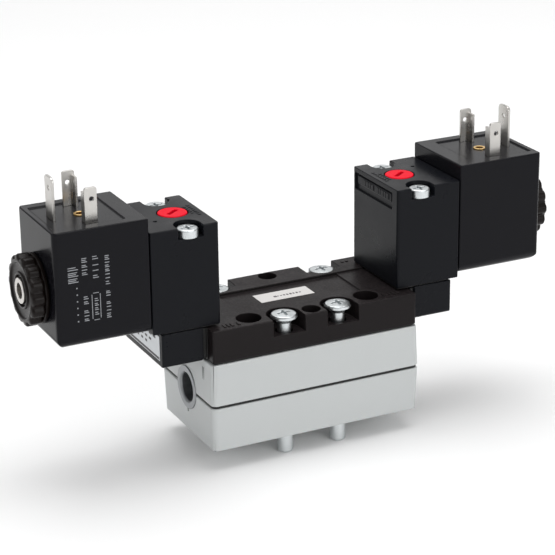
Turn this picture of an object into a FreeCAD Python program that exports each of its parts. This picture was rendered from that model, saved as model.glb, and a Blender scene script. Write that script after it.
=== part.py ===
"""Solenoid directional valve: double-solenoid spool valve on a two-layer ported base.

Millimetres, +Z up, +X to the right, +Y to the rear.  The origin is the centre of the base's
underside.  Each side's pilot unit is drawn at +X and turned half a turn about Z for the left.
"""
import FreeCAD, Part
import math
import os

Vec = FreeCAD.Vector

# ---- base block -----------------------------------------------------------------------
BASE_LENGTH = 73.0
BASE_WIDTH = 39.4
BASE_DRAFT = 0.45            # each half narrows by this on every side, away from the seam
BASE_CORNER_R = 2.0
LOWER_TOP = 14.5             # top of the lower half
GASKET_T = 0.8               # seam gasket thickness
GASKET_INSET = 0.35          # how far the gasket stays inside the faces
UPPER_TOP = 28.9             # top of the upper half
INTERFACE_T = 0.6            # seal under the valve body
SEAL_INSET = 0.45            # how far that seal stays inside the body's outline
PORT_AXIS_Z = LOWER_TOP + GASKET_T / 2
BUSH_R = 7.1
BUSH_LENGTH = 10.0
BUSH_PROUD = 0.2              # how far a bush stands out of its end face
BUSH_CLEARANCE = 0.02
PORT_R = 4.6                 # bore of the bushes
PORT_LEAD = 0.6              # lead-in at a bush's mouth
CHANNEL_R = 4.2              # channel behind a bush
CHANNEL_START = 8.0
CROSS_PORT_R = 2.2
PORT_X = (-20.0, -10.0, 0.0, 10.0, 20.0)
THROUGH_PORT_X = (-20.0, 0.0, 20.0)
WORK_PORT_X = (-10.0, 10.0)
THROUGH_PORT_Y = -9.0
KEYWAY_W = 0.9
KEYWAY_D = 1.3
KEYWAY_LENGTH = 2.5
MOUTH_R = 3.2                # shallow seal seats round the ports under the base
MOUTH_DEPTH = 1.2
GALLERY_H = 3.5              # galleries that lead from the cross ports to the centre line

# ---- valve body -----------------------------------------------------------------------
BODY_HALF = 35.5
BODY_FRONT = -18.9
BODY_REAR = 19.5
BODY_BOTTOM = UPPER_TOP + INTERFACE_T
BODY_TOP = 40.4              # rear ledge, and the end caps
FRONT_TOP = 39.9             # the rest of the top
BODY_EDGE_R = 0.8
RECESS_HALF = 21.3           # shallow field that carries the label
RECESS_FRONT = -8.0
RECESS_REAR = 8.6
RECESS_FLOOR = 39.4
LABEL_T = 0.15
LABEL_X = (-11.1, 7.7)
LABEL_Y = (-2.5, 4.3)
END_LABEL_Y = (-13.0, 12.6)
END_LABEL_Z = (31.4, 39.4)
POCKET_FLOOR = 34.5
FRONT_POCKET_R = 5.5
REAR_BORE_R = 4.5
REAR_NOTCH = (12.8, 24.9)
REAR_NOTCH_FRONT = 13.1
SMALL_HOLE_R = 3.0
SMALL_HOLE_Y = (-15.0, 16.2)
BIG_HOLE_R = 4.0
BIG_HOLE = (20.6, -12.8)
BLIND_DEPTH = 8.2
WAY_HALF = 2.0               # half length of a way from a port up to the spool

# ---- spool ----------------------------------------------------------------------------
SPOOL_Z = 35.2
SLEEVE_R = 3.8
SPOOL_BORE_R = 3.05
WINDOW_R = 0.9               # radial windows in the sleeve
LAND_R = 3.0
SPOOL_CORE_R = 1.7
SPOOL_TRAVEL = 3.0           # full stroke; the spool rests at the left end of it
LAND_X = (-27.0, -15.0, -5.0, 5.0, 15.0, 27.0)
LAND_W = 4.0
SEAL_R = 0.45
PISTON_R = 3.9
PISTON_BORE_R = 4.0
PISTON_X = 38.5              # inner face of a piston when the spool is central
PISTON_T = 4.0

# ---- mounting screws ------------------------------------------------------------------
SCREW_R = 2.5
SCREW_HOLE_R = 2.75
SCREW_LENGTH = 45.7
SCREW_SEAT = 38.9            # underside of the heads, which stand clear of their pockets
SCREW_HEAD_R = 4.25
SCREW_RIM = 0.9
SCREW_DOME_R = 14.0
SCREW_DOME_H = 0.65
SCREW_FLARE_R = 3.6          # flare that joins a head to its neck
SCREW_FLARE_H = 1.6
SCREW_NECK_R = 2.2           # relieved neck that lets a screw hang captive and still be tightened
SCREW_THREAD_TOP = -0.1
SCREW_POINT = 0.6            # chamfer at the tip
SCREW_RECESS = (4.4, 1.7)    # size and depth of the cross recess
FRONT_SCREW = (9.4, -14.7)
REAR_SCREW = (18.9, 14.6)

# ---- end caps -------------------------------------------------------------------------
CAP_INNER = 37.0
CAP_OUTER = 50.6
CAP_HALF_DEPTH = 15.2
CAP_TOP = BODY_TOP
CAP_BORE_END = 47.0
CAP_SCREW_Y = 7.3
CAP_SCREW_R = 2.0
CAP_SCREW_HEAD_R = 3.4
CAP_SCREW_INNER = 27.0
CAP_SCREW_HEAD_X = 47.5
CAP_SCREW_GAP = 0.2
CAP_SOCKET_R = 1.7           # across the corners of the hexagon socket, halved
CAP_SOCKET_DEPTH = 1.9
SIGNAL_R = 0.9               # air way from the end cap to the pilot seat
SIGNAL_X = 43.2
RETURN_R = 0.7               # air way from the pilot seat back to the piston
RETURN_X = 46.0
RETURN_Y = 3.6
RETURN_CHAMBER_R = 4.3
RETURN_CHAMBER_X = 44.8

# ---- pilot housings -------------------------------------------------------------------
PILOT_X = 40.0               # the two pilot screws
HOUSING_INNER = 30.8
HOUSING_OUTER = 53.3
HOUSING_HALF_DEPTH = 14.85
PILOT_GASKET_T = 0.4
HOUSING_BOTTOM = BODY_TOP + PILOT_GASKET_T
HOUSING_TOP = 73.5
PILOT_SCREW_Y = 12.0
PILOT_SCREW_R = 1.9
PILOT_SCREW_HEAD_R = 3.35
PILOT_SCREW_HEAD_H = 2.7
PILOT_POCKET_R = 4.15
PILOT_POCKET_FLOOR = 69.8
PILOT_SCREW_END = 32.5
PILOT_SCREW_EDGE = 0.6
PILOT_RECESS = (4.2, 1.5)
PANEL_DEPTH = 0.8             # recess on the inner face
PANEL_Y = (-11.0, 13.4)
PANEL_Z = (66.4, 71.9)
PLATE_SET_BACK = 0.25         # the raised plate's distance behind that face
PLATE_Y = (-10.2, 12.0)
PLATE_Z = (68.4, 71.2)
DIMPLE_R = 0.55
DIMPLE_DEPTH = 0.6
DIMPLES = ((47.6, 5.3), (36.0, -11.9))

# ---- manual override ------------------------------------------------------------------
BUTTON_X = 39.6
BUTTON_R = 4.6
BUTTON_BOTTOM = 70.9
BUTTON_TOP = 73.65
BUTTON_TRAVEL = 1.2
BUTTON_EDGE = 0.35
BUTTON_SLOT = (5.1, 1.3, 0.9)    # length, width, depth
SLOT_ANGLE = 37.0
PLUNGER_R = 2.42
PLUNGER_BORE_R = 2.5
PLUNGER_COLLAR_Z = (68.4, 69.4)
SPRING_SEAT_Z = 64.0
BUTTON_BORE_FLOOR = 69.6
SPRING_BORE_R = 3.6
PLUNGER_BORE_FLOOR = 59.6
OVERRIDE_SPRING_R = 3.0
PLUNGER_TIP = 61.4
PLUNGER_POINT = 1.2           # height of the tapered tip
COLLAR_R = 3.3
NECK_R = 1.5
NECK_TOP = 72.0

# ---- coil and its stem ----------------------------------------------------------------
COIL_AXIS_Z = 57.0
COIL_INNER = 53.6
COIL_OUTER = 83.75
COIL_HALF_DEPTH = 14.9
COIL_BOTTOM = 41.6
COIL_TOP = 78.3
COIL_SOFT_R = 3.6             # lower edges
COIL_CRISP_R = 0.5            # upper and inner edges
COIL_UPRIGHT_R = 1.6          # outer upright edges
COIL_HOLE_R = 5.08
TUBE_R = 5.0
TUBE_BORE_R = 4.5
TUBE_FLANGE_R = 7.4
TUBE_FLANGE_X = 50.5
STEM_R = 4.0
STEM_END = 89.8
STEM_BORE_R = 2.4
ARMATURE_R = 4.42
ARMATURE_X = (50.4, 71.0)
ARMATURE_TRAVEL = 0.8
ARMATURE_SPRING_X = 64.0      # floor of the spring pocket
ARMATURE_SPRING_R = 1.8
ARMATURE_POCKET_R = 2.4
ARMATURE_FLAT_Y = 4.0         # the air flats' distance from the axis
SPRING_WIRE_R = 0.25
CORE_BORE_R = 1.2
SEAL_GROOVE_X = 48.8
SEAL_GROOVE_R = (5.3, 7.3)
TUBE_SEAL_R = 6.3
TUBE_SEAL_WIRE_R = 0.8
CHAMBER_R = 4.8               # chamber round the pilot seat
CHAMBER_X = 49.7
SEAT_X = 45.7
SEAT_R = 2.78
SEAT_STEPS = ((SEAT_R, 45.7, 48.4), (2.0, 48.0, 49.9), (1.1, 49.5, 50.3))
SEAT_BORE_R = 0.5
SEAT_INLET_R = 1.0
SEAT_INLET_END = 48.0
WINDING_R = (5.7, 12.0)
WINDING_X = (58.0, 79.0)
YOKE_T = 1.5
YOKE_GAP = 0.3                # clearance from the winding to the yoke's end plates
YOKE_HALF_DEPTH = 11.5
YOKE_Z = (COIL_AXIS_Z - 11.0, COIL_AXIS_Z + 14.0)
YOKE_STRAP_T = 1.6
TOP_FIELD = ((59.6, 81.8), (-11.3, 11.3))
TOP_FIELD_DEPTH = 0.45

# ---- coil nut -------------------------------------------------------------------------
NUT_X = (84.05, 89.6)
NUT_FLANGE_R = 10.9
NUT_GRIP_R = 11.1
NUT_FACE_R = 10.1
NUT_FLUTES = 14
NUT_FLUTE_R = 1.75
NUT_FLUTE_CENTRE_R = NUT_GRIP_R + 0.75
NUT_FLANGE_T = 1.3
NUT_CHAMFER = 0.8
NUT_DISH_R = (5.6, 8.6)
NUT_DISH_DEPTH = 0.5
NUT_BORE_R = STEM_R + 0.05
NUT_COUNTERBORE_R = 4.7
NUT_COUNTERBORE_DEPTH = 0.9

# ---- terminals ------------------------------------------------------------------------
TERMINAL_X = 69.4
BLADE_Y = 9.1
BLADE_W = 4.0
BLADE_T = 0.8
BLADE_FLANGE = 2.6
BLADE_TOP = 88.9
BLADE_ROOT = 74.0
BLADE_TIP_R = 0.9
BLADE_FLANGE_DROP = 1.6       # how far the narrow flange stays below the tip
BLADE_HOLE_R = 0.75
BLADE_HOLE_DROP = 3.6
EARTH_X = 78.6
EARTH_W = 6.0
EARTH_TOP = 91.2
EARTH_TIP_R = 1.6
INSERT_R = 2.0
INSERT_HOLE_R = 1.25
INSERT_DEPTH = 7.0


# ---- helpers --------------------------------------------------------------------------
def box(x, y, z):
    """Box from three (low, high) pairs."""
    size = (x[1] - x[0], y[1] - y[0], z[1] - z[0])
    return Part.makeBox(*size, Vec(x[0], y[0], z[0]))


def post(r, x, y, z):
    """Vertical cylinder at (x, y) over the height range z."""
    return Part.makeCylinder(r, z[1] - z[0], Vec(x, y, z[0]), Vec(0, 0, 1))


def bar(r, x, y, z):
    """Cylinder along X over the range x."""
    return Part.makeCylinder(r, x[1] - x[0], Vec(x[0], y, z), Vec(1, 0, 0))


def fuse(shapes):
    """One solid from several that overlap."""
    shapes = list(shapes)
    return shapes[0].multiFuse(shapes[1:]).removeSplitter() if len(shapes) > 1 else shapes[0]


def group(shapes):
    """Separate solids that share one node."""
    return Part.makeCompound(list(shapes))


def rounded_outline(a, b, radii, at, place):
    """Closed wire of a rectangle with its own radius at each corner.

    a and b are the (low, high) pairs across and up; radii run from the low-low corner
    anticlockwise; place turns (across, up) into a point.
    """
    corners = ((a[0], b[0]), (a[1], b[0]), (a[1], b[1]), (a[0], b[1]))
    along = ((1, 0), (0, 1), (-1, 0), (0, -1))
    edges = []
    last = None
    first = None
    for i, (u, v) in enumerate(corners):
        r = radii[i]
        back = along[i - 1]
        ahead = along[i]
        start = (u - back[0] * r, v - back[1] * r)
        end = (u + ahead[0] * r, v + ahead[1] * r)
        middle = (u + (ahead[0] - back[0]) * r * (1 - math.sqrt(0.5)),
                  v + (ahead[1] - back[1]) * r * (1 - math.sqrt(0.5)))
        if last is not None:
            edges.append(Part.LineSegment(place(*last, at), place(*start, at)).toShape())
        first = first or start
        edges.append(Part.Arc(place(*start, at), place(*middle, at), place(*end, at)).toShape())
        last = end
    edges.append(Part.LineSegment(place(*last, at), place(*first, at)).toShape())
    return Part.Wire(edges)


def on_xy(across, up, at):
    """Point of an outline drawn in plan."""
    return Vec(across, up, at)


def on_xz(across, up, at):
    """Point of an outline drawn in the front view."""
    return Vec(across, at, up)


def on_yz(across, up, at):
    """Point of an outline drawn in the side view."""
    return Vec(at, across, up)


def prism(a, b, radii, span, place):
    """Solid with a rounded outline over the range span of the remaining axis."""
    face = Part.Face(rounded_outline(a, b, radii, span[0], place))
    return face.extrude(place(0, 0, span[1] - span[0]))


def drafted_block(half_x, half_y, z, draft_low, draft_high):
    """Block with rounded corners whose two ends are narrower by a draft."""
    wires = []
    for level, draft in ((z[0], draft_low), (z[1], draft_high)):
        a = (-half_x + draft, half_x - draft)
        b = (-half_y + draft, half_y - draft)
        wires.append(rounded_outline(a, b, (BASE_CORNER_R,) * 4, level, on_xy))
    return Part.makeLoft(wires, True, True)


def screw_places():
    """Centres of the four mounting screws."""
    return [(s * x, y) for x, y in (FRONT_SCREW, REAR_SCREW) for s in (-1, 1)]


def screw_holes(z):
    """The four clearance holes over a height range."""
    return [post(SCREW_HOLE_R, x, y, z) for x, y in screw_places()]


def coil_spring(r, wire_r, span, turns, place):
    """Round-wire spring of mean radius r between the two values of span along Z, then placed."""
    height = span[1] - span[0] - 2 * wire_r
    helix = Part.makeHelix(height / turns, height, r)
    ring = Part.Wire(Part.makeCircle(wire_r, Vec(r, 0, 0), Vec(0, 1, 0)))
    spring = Part.Wire(helix).makePipeShell([ring], True, True)
    spring.translate(Vec(0, 0, span[0] + wire_r))
    return place(spring)


def cross_recess(x, y, z, size, depth):
    """Cross-shaped driver recess sunk from the height z."""
    arm = size / 2
    width = size / 5
    lengthwise = box((x - arm, x + arm), (y - width / 2, y + width / 2), (z - depth, z + 1))
    crosswise = box((x - width / 2, x + width / 2), (y - arm, y + arm), (z - depth, z + 1))
    return fuse([lengthwise, crosswise])


# ---- base -----------------------------------------------------------------------------
def bush_seats():
    """Round seats for the two port bushes and the channels behind them."""
    cuts = []
    for s in (-1, 1):
        seat = sorted((s * (BASE_LENGTH / 2 - BUSH_LENGTH), s * (BASE_LENGTH / 2 + 1)))
        channel = sorted((s * CHANNEL_START, s * (BASE_LENGTH / 2 + 1)))
        cuts.append(bar(BUSH_R, seat, 0, PORT_AXIS_Z))
        cuts.append(bar(CHANNEL_R, channel, 0, PORT_AXIS_Z))
    return cuts


def keyways():
    """Small notch under each bush that keys it in the lower half."""
    low = PORT_AXIS_Z - BUSH_R
    half = BASE_LENGTH / 2
    notches = []
    for s in (-1, 1):
        x = sorted((s * (half - KEYWAY_LENGTH), s * (half + 1)))
        notches.append(box(x, (-KEYWAY_W / 2, KEYWAY_W / 2), (low - KEYWAY_D, low + 1)))
    return notches


def base_lower():
    z = (0, LOWER_TOP)
    block = drafted_block(BASE_LENGTH / 2, BASE_WIDTH / 2, z, BASE_DRAFT, 0)
    ports = [post(CROSS_PORT_R, x, THROUGH_PORT_Y, (-1, LOWER_TOP + 1)) for x in THROUGH_PORT_X]
    mouths = [post(MOUTH_R, x, THROUGH_PORT_Y, (-1, MOUTH_DEPTH)) for x in THROUGH_PORT_X]
    return block.cut(bush_seats() + keyways() + ports + mouths + screw_holes((-1, LOWER_TOP + 1)))


def seam_gasket():
    z = (LOWER_TOP, LOWER_TOP + GASKET_T)
    sheet = drafted_block(BASE_LENGTH / 2, BASE_WIDTH / 2, z, GASKET_INSET, GASKET_INSET)
    ports = [post(CROSS_PORT_R, x, THROUGH_PORT_Y, (z[0] - 1, z[1] + 1)) for x in THROUGH_PORT_X]
    return sheet.cut(bush_seats() + ports + screw_holes((z[0] - 1, z[1] + 1)))


def base_upper():
    low = LOWER_TOP + GASKET_T
    block = drafted_block(BASE_LENGTH / 2, BASE_WIDTH / 2, (low, UPPER_TOP), 0, BASE_DRAFT)
    cuts = bush_seats() + screw_holes((low - 1, UPPER_TOP + 1))
    for x in THROUGH_PORT_X:
        cuts.append(post(CROSS_PORT_R, x, THROUGH_PORT_Y, (low - 1, UPPER_TOP - 1)))
        gallery_y = (THROUGH_PORT_Y - CROSS_PORT_R, CROSS_PORT_R)
        gallery_z = (UPPER_TOP - GALLERY_H, UPPER_TOP + 1)
        cuts.append(box((x - CROSS_PORT_R, x + CROSS_PORT_R), gallery_y, gallery_z))
    for x in WORK_PORT_X:
        cuts.append(post(CROSS_PORT_R, x, 0, (PORT_AXIS_Z, UPPER_TOP + 1)))
    return block.cut(cuts)


def interface_seal():
    z = (UPPER_TOP, BODY_BOTTOM)
    x = (-BODY_HALF + SEAL_INSET, BODY_HALF - SEAL_INSET)
    y = (BODY_FRONT + SEAL_INSET, BODY_REAR - SEAL_INSET)
    sheet = prism(x, y, (1.0,) * 4, z, on_xy)
    cuts = screw_holes((z[0] - 1, z[1] + 1))
    cuts += [post(CROSS_PORT_R, x, 0, (z[0] - 1, z[1] + 1)) for x in PORT_X]
    return sheet.cut(cuts)


def port_bush():
    """Keyed ring bush in the right end of the seam."""
    outer = BASE_LENGTH / 2 + BUSH_PROUD
    x = (BASE_LENGTH / 2 - BUSH_LENGTH, outer)
    ring = bar(BUSH_R - BUSH_CLEARANCE, x, 0, PORT_AXIS_Z)
    lead_at = Vec(outer - PORT_LEAD, 0, PORT_AXIS_Z)
    lead_in = Part.makeCone(PORT_R, PORT_R + PORT_LEAD, PORT_LEAD, lead_at, Vec(1, 0, 0))
    return ring.cut([bar(PORT_R, (x[0] - 1, x[1] + 1), 0, PORT_AXIS_Z), lead_in])


# ---- valve body -----------------------------------------------------------------------
def u_pocket(x, y, r, open_y, z):
    """Round-ended pocket that runs out to the plane y = open_y."""
    reach = sorted((y, open_y))
    return fuse([post(r, x, y, z), box((x - r, x + r), reach, z)])


def body_block():
    """The body's block: a low top with a rounded front edge, and a raised ledge along the rear."""
    x = (-BODY_HALF, BODY_HALF)
    low = prism((BODY_FRONT, BODY_REAR - 1), (BODY_BOTTOM, FRONT_TOP), (0.3, 0.3, 0.3, BODY_EDGE_R), x, on_yz)
    ledge = prism((RECESS_REAR, BODY_REAR), (BODY_BOTTOM, BODY_TOP), (0.3, 0.3, 0.4, 0.3), x, on_yz)
    plan = prism(x, (BODY_FRONT, BODY_REAR), (0.8,) * 4, (BODY_BOTTOM, BODY_TOP), on_xy)
    return fuse([low, ledge]).common(plan)


def valve_body():
    above = (POCKET_FLOOR, BODY_TOP + 1)
    blind = (BODY_TOP - BLIND_DEPTH, BODY_TOP + 1)
    cuts = [box((-RECESS_HALF, RECESS_HALF), (RECESS_FRONT, RECESS_REAR), (RECESS_FLOOR, BODY_TOP + 1))]
    for s in (-1, 1):
        cuts.append(u_pocket(s * FRONT_SCREW[0], FRONT_SCREW[1], FRONT_POCKET_R, BODY_FRONT - 1, above))
        cuts.append(post(REAR_BORE_R, s * REAR_SCREW[0], REAR_SCREW[1], above))
        notch = sorted((s * REAR_NOTCH[0], s * REAR_NOTCH[1]))
        cuts.append(box(notch, (REAR_NOTCH_FRONT, BODY_REAR + 1), above))
        cuts.append(post(BIG_HOLE_R, s * BIG_HOLE[0], BIG_HOLE[1], blind))
        for y in (-CAP_SCREW_Y, CAP_SCREW_Y):
            x = sorted((s * CAP_SCREW_INNER, s * (BODY_HALF + 1)))
            cuts.append(bar(CAP_SCREW_R, x, y, SPOOL_Z))
    cuts += [post(SMALL_HOLE_R, 0, y, blind) for y in SMALL_HOLE_Y]
    cuts.append(bar(SLEEVE_R, (-BODY_HALF - 1, BODY_HALF + 1), 0, SPOOL_Z))
    cuts += [box((x - WAY_HALF, x + WAY_HALF), (-CROSS_PORT_R, CROSS_PORT_R), (BODY_BOTTOM - 1, SPOOL_Z))
             for x in PORT_X]
    cuts += screw_holes((BODY_BOTTOM - 1, BODY_TOP + 1))
    return body_block().cut(cuts)


def spool_sleeve():
    x = (-BODY_HALF + 0.5, BODY_HALF - 0.5)
    tube = bar(SLEEVE_R - 0.02, x, 0, SPOOL_Z).cut(bar(SPOOL_BORE_R, (x[0] - 1, x[1] + 1), 0, SPOOL_Z))
    windows = []
    for port in PORT_X:
        for turn in (0, 60, 120):
            window = Part.makeCylinder(WINDOW_R, 2 * SLEEVE_R + 2, Vec(port, 0, SPOOL_Z - SLEEVE_R - 1))
            window.rotate(Vec(port, 0, SPOOL_Z), Vec(1, 0, 0), turn)
            windows.append(window)
    return tube.cut(windows)


def rest_x(x):
    """Where a point of the centred spool lies with the spool at its left stop."""
    return x - SPOOL_TRAVEL / 2


def spool():
    """Spool with six lands, a seal groove round each, and a stem to each piston."""
    reach = (rest_x(-PISTON_X + 0.01), rest_x(PISTON_X - 0.01))
    half = LAND_W / 2
    lands = [bar(LAND_R, (rest_x(x - half), rest_x(x + half)), 0, SPOOL_Z) for x in LAND_X]
    solid = fuse([bar(SPOOL_CORE_R, reach, 0, SPOOL_Z)] + lands)
    grooves = []
    for x in LAND_X:
        slot = (rest_x(x - 0.6), rest_x(x + 0.6))
        grooves.append(bar(LAND_R + 1, slot, 0, SPOOL_Z).cut(bar(LAND_R - 0.95, slot, 0, SPOOL_Z)))
    return solid.cut(grooves)


def ring_seal(ring_r, section_r, x, z):
    """O-ring about an axis along X."""
    return Part.makeTorus(ring_r, section_r, Vec(x, 0, z), Vec(1, 0, 0))


def spool_seals():
    return group(ring_seal(LAND_R - SEAL_R, SEAL_R, rest_x(x), SPOOL_Z) for x in LAND_X)


def pilot_piston(s):
    """Piston on the spool's right (s = 1) or left (s = -1) stem."""
    inner = rest_x(s * PISTON_X)
    x = sorted((inner, inner + s * PISTON_T))
    mid = (x[0] + x[1]) / 2
    groove = bar(PISTON_R + 1, (mid - 0.7, mid + 0.7), 0, SPOOL_Z)
    groove = groove.cut(bar(PISTON_R - 1.0, (mid - 0.7, mid + 0.7), 0, SPOOL_Z))
    return bar(PISTON_R, x, 0, SPOOL_Z).cut(groove)


def piston_seal(s):
    mid = rest_x(s * (PISTON_X + PISTON_T / 2))
    return ring_seal(PISTON_R - 0.45, 0.48, mid, SPOOL_Z)


def screw_head(x, y):
    """Flat-rimmed head with a low dome and a flare under it."""
    rim_top = SCREW_SEAT + SCREW_RIM
    rim = post(SCREW_HEAD_R, x, y, (SCREW_SEAT, rim_top))
    crown = Part.makeSphere(SCREW_DOME_R, Vec(x, y, rim_top + SCREW_DOME_H - SCREW_DOME_R))
    crown = crown.common(post(SCREW_HEAD_R, x, y, (SCREW_SEAT, rim_top + 2)))
    low = SCREW_SEAT - SCREW_FLARE_H
    flare = Part.makeCone(SCREW_NECK_R, SCREW_FLARE_R, SCREW_FLARE_H, Vec(x, y, low))
    return [rim, crown, flare]


def screw_stem(x, y):
    """Relieved neck, threaded end and chamfered point."""
    tip = SCREW_SEAT - SCREW_LENGTH
    return [post(SCREW_NECK_R, x, y, (SCREW_THREAD_TOP - 1, SCREW_SEAT)),
            post(SCREW_R, x, y, (tip + SCREW_POINT, SCREW_THREAD_TOP)),
            Part.makeCone(SCREW_R - SCREW_POINT, SCREW_R, SCREW_POINT, Vec(x, y, tip))]


def mounting_screws():
    """Four captive pan-head screws, standing a little out of the base."""
    screws = []
    size, depth = SCREW_RECESS
    recess_top = SCREW_SEAT + SCREW_RIM + SCREW_DOME_H + 0.15
    for x, y in screw_places():
        solid = fuse(screw_head(x, y) + screw_stem(x, y))
        screws.append(solid.cut(cross_recess(x, y, recess_top, size, depth)))
    return group(screws)


def rating_label():
    return box(LABEL_X, LABEL_Y, (RECESS_FLOOR, RECESS_FLOOR + LABEL_T))


def end_label():
    """Metal label on the left end cap's outer face."""
    return box((-CAP_OUTER - LABEL_T, -CAP_OUTER), END_LABEL_Y, END_LABEL_Z)


# ---- pilot unit, drawn on the right ---------------------------------------------------
def end_cap():
    y = (-CAP_HALF_DEPTH, CAP_HALF_DEPTH)
    z = (BODY_BOTTOM, CAP_TOP)
    plan = prism((CAP_INNER, CAP_OUTER), y, (0.3, 0.9, 0.9, 0.3), z, on_xy)
    side = prism(y, z, (1.2, 1.2, 0.3, 0.3), (CAP_INNER, CAP_OUTER), on_yz)
    cuts = [bar(PISTON_BORE_R, (CAP_INNER - 1, CAP_BORE_END), 0, SPOOL_Z),
            bar(RETURN_CHAMBER_R, (RETURN_CHAMBER_X, CAP_BORE_END), 0, SPOOL_Z),
            post(RETURN_R, RETURN_X, RETURN_Y, (SPOOL_Z, CAP_TOP + 1))]
    for y in (-CAP_SCREW_Y, CAP_SCREW_Y):
        cuts.append(bar(CAP_SCREW_R + CAP_SCREW_GAP, (CAP_INNER - 1, CAP_SCREW_HEAD_X), y, SPOOL_Z))
        cuts.append(bar(CAP_SCREW_HEAD_R + CAP_SCREW_GAP, (CAP_SCREW_HEAD_X, CAP_OUTER + 1), y, SPOOL_Z))
    for y in (-PILOT_SCREW_Y, PILOT_SCREW_Y):
        cuts.append(post(PILOT_SCREW_R, PILOT_X, y, (PILOT_SCREW_END, CAP_TOP + 1)))
    return plan.common(side).cut(cuts)


def end_cap_gasket():
    """Rubber plate between body and end cap, set in from the faces, with a thin rim."""
    y = CAP_HALF_DEPTH - 0.9
    z = (BODY_BOTTOM + 0.5, CAP_TOP - 0.5)
    plate = box((BODY_HALF, CAP_INNER), (-y, y), z)
    rim = box((BODY_HALF, BODY_HALF + 0.35), (-y - 0.8, y + 0.8), (z[0] - 0.3, z[1] + 0.3))
    x = (BODY_HALF - 1, CAP_INNER + 1)
    cuts = [bar(PISTON_BORE_R, x, 0, SPOOL_Z)]
    cuts += [bar(CAP_SCREW_R + CAP_SCREW_GAP, x, s * CAP_SCREW_Y, SPOOL_Z) for s in (-1, 1)]
    return fuse([plate, rim]).cut(cuts)


def hexagon_socket(y):
    """Tool for the socket in an end-cap screw's head."""
    floor = CAP_OUTER - 0.3 - CAP_SOCKET_DEPTH
    corners = []
    for i in range(7):
        a = math.radians(60 * (i % 6))
        corners.append(Vec(floor, y + CAP_SOCKET_R * math.cos(a), SPOOL_Z + CAP_SOCKET_R * math.sin(a)))
    return Part.Face(Part.makePolygon(corners)).extrude(Vec(CAP_SOCKET_DEPTH + 1, 0, 0))


def end_cap_screws():
    """Two socket screws through the cap into the body."""
    screws = []
    for s in (-1, 1):
        y = s * CAP_SCREW_Y
        shank = bar(CAP_SCREW_R - 0.02, (CAP_SCREW_INNER + 0.3, CAP_SCREW_HEAD_X + 0.5), y, SPOOL_Z)
        head = bar(CAP_SCREW_HEAD_R, (CAP_SCREW_HEAD_X, CAP_OUTER - 0.3), y, SPOOL_Z)
        screws.append(fuse([shank, head]).cut(hexagon_socket(y)))
    return group(screws)


def pilot_gasket():
    z = (BODY_TOP, HOUSING_BOTTOM)
    y = HOUSING_HALF_DEPTH - 0.45
    sheet = box((HOUSING_INNER + 0.45, CAP_OUTER - 0.6), (-y, y), z)
    tall = (z[0] - 1, z[1] + 1)
    cuts = [post(RETURN_R, RETURN_X, RETURN_Y, tall), post(SIGNAL_R, SIGNAL_X, 0, tall)]
    cuts += [post(PILOT_SCREW_R + 0.2, PILOT_X, s * PILOT_SCREW_Y, tall) for s in (-1, 1)]
    return sheet.cut(cuts)


def housing_passages():
    """Air ways from the end cap to the pilot seat and back."""
    rise = (HOUSING_BOTTOM - 1, COIL_AXIS_Z)
    return [post(SIGNAL_R, SIGNAL_X, 0, rise),
            bar(SIGNAL_R, (SIGNAL_X, RETURN_X), 0, COIL_AXIS_Z),
            post(RETURN_R, RETURN_X, RETURN_Y, rise),
            bar(RETURN_R, (RETURN_X, TUBE_FLANGE_X), RETURN_Y, COIL_AXIS_Z)]


def seat_bores():
    """Bores in the outer face for the stem's flange, its seal and the pilot seat."""
    span = (SEAL_GROOVE_X, TUBE_FLANGE_X)
    inner, outer = SEAL_GROOVE_R
    groove = bar(outer, span, 0, COIL_AXIS_Z).cut(bar(inner, span, 0, COIL_AXIS_Z))
    return [bar(TUBE_FLANGE_R + 0.05, (TUBE_FLANGE_X, HOUSING_OUTER + 1), 0, COIL_AXIS_Z), groove,
            bar(CHAMBER_R, (CHAMBER_X, TUBE_FLANGE_X + 1), 0, COIL_AXIS_Z),
            bar(SEAT_R + 0.02, (SEAT_X - 0.1, CHAMBER_X + 0.3), 0, COIL_AXIS_Z)]


def override_bores():
    """Stepped bore for the button, its spring and the plunger."""
    return [post(BUTTON_R + 0.3, BUTTON_X, 0, (BUTTON_BORE_FLOOR, HOUSING_TOP + 1)),
            post(SPRING_BORE_R, BUTTON_X, 0, (SPRING_SEAT_Z, HOUSING_TOP)),
            post(PLUNGER_BORE_R, BUTTON_X, 0, (PLUNGER_BORE_FLOOR, HOUSING_TOP))]


def name_panel():
    """Recess on the inner face with a raised plain plate in it."""
    floor = HOUSING_INNER + PANEL_DEPTH
    recess = box((HOUSING_INNER - 1, floor), PANEL_Y, PANEL_Z)
    return recess.cut(box((HOUSING_INNER + PLATE_SET_BACK, floor + 1), PLATE_Y, PLATE_Z))


def pilot_housing():
    y = (-HOUSING_HALF_DEPTH, HOUSING_HALF_DEPTH)
    z = (HOUSING_BOTTOM, HOUSING_TOP)
    plan = prism((HOUSING_INNER, HOUSING_OUTER), y, (1.0, 0.5, 0.5, 1.0), z, on_xy)
    side = prism(y, z, (0.3, 0.3, 0.6, 0.6), (HOUSING_INNER, HOUSING_OUTER), on_yz)
    cuts = housing_passages() + seat_bores() + override_bores() + [name_panel()]
    above = (PILOT_POCKET_FLOOR, HOUSING_TOP + 1)
    for s in (-1, 1):
        cuts.append(u_pocket(PILOT_X, s * PILOT_SCREW_Y, PILOT_POCKET_R, s * (HOUSING_HALF_DEPTH + 1), above))
        cuts.append(post(PILOT_SCREW_R + 0.15, PILOT_X, s * PILOT_SCREW_Y, (HOUSING_BOTTOM - 1, HOUSING_TOP)))
    for x, y in DIMPLES:
        cuts.append(post(DIMPLE_R, x, y, (HOUSING_TOP - DIMPLE_DEPTH, HOUSING_TOP + 1)))
    return plan.common(side).cut(cuts)


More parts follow.
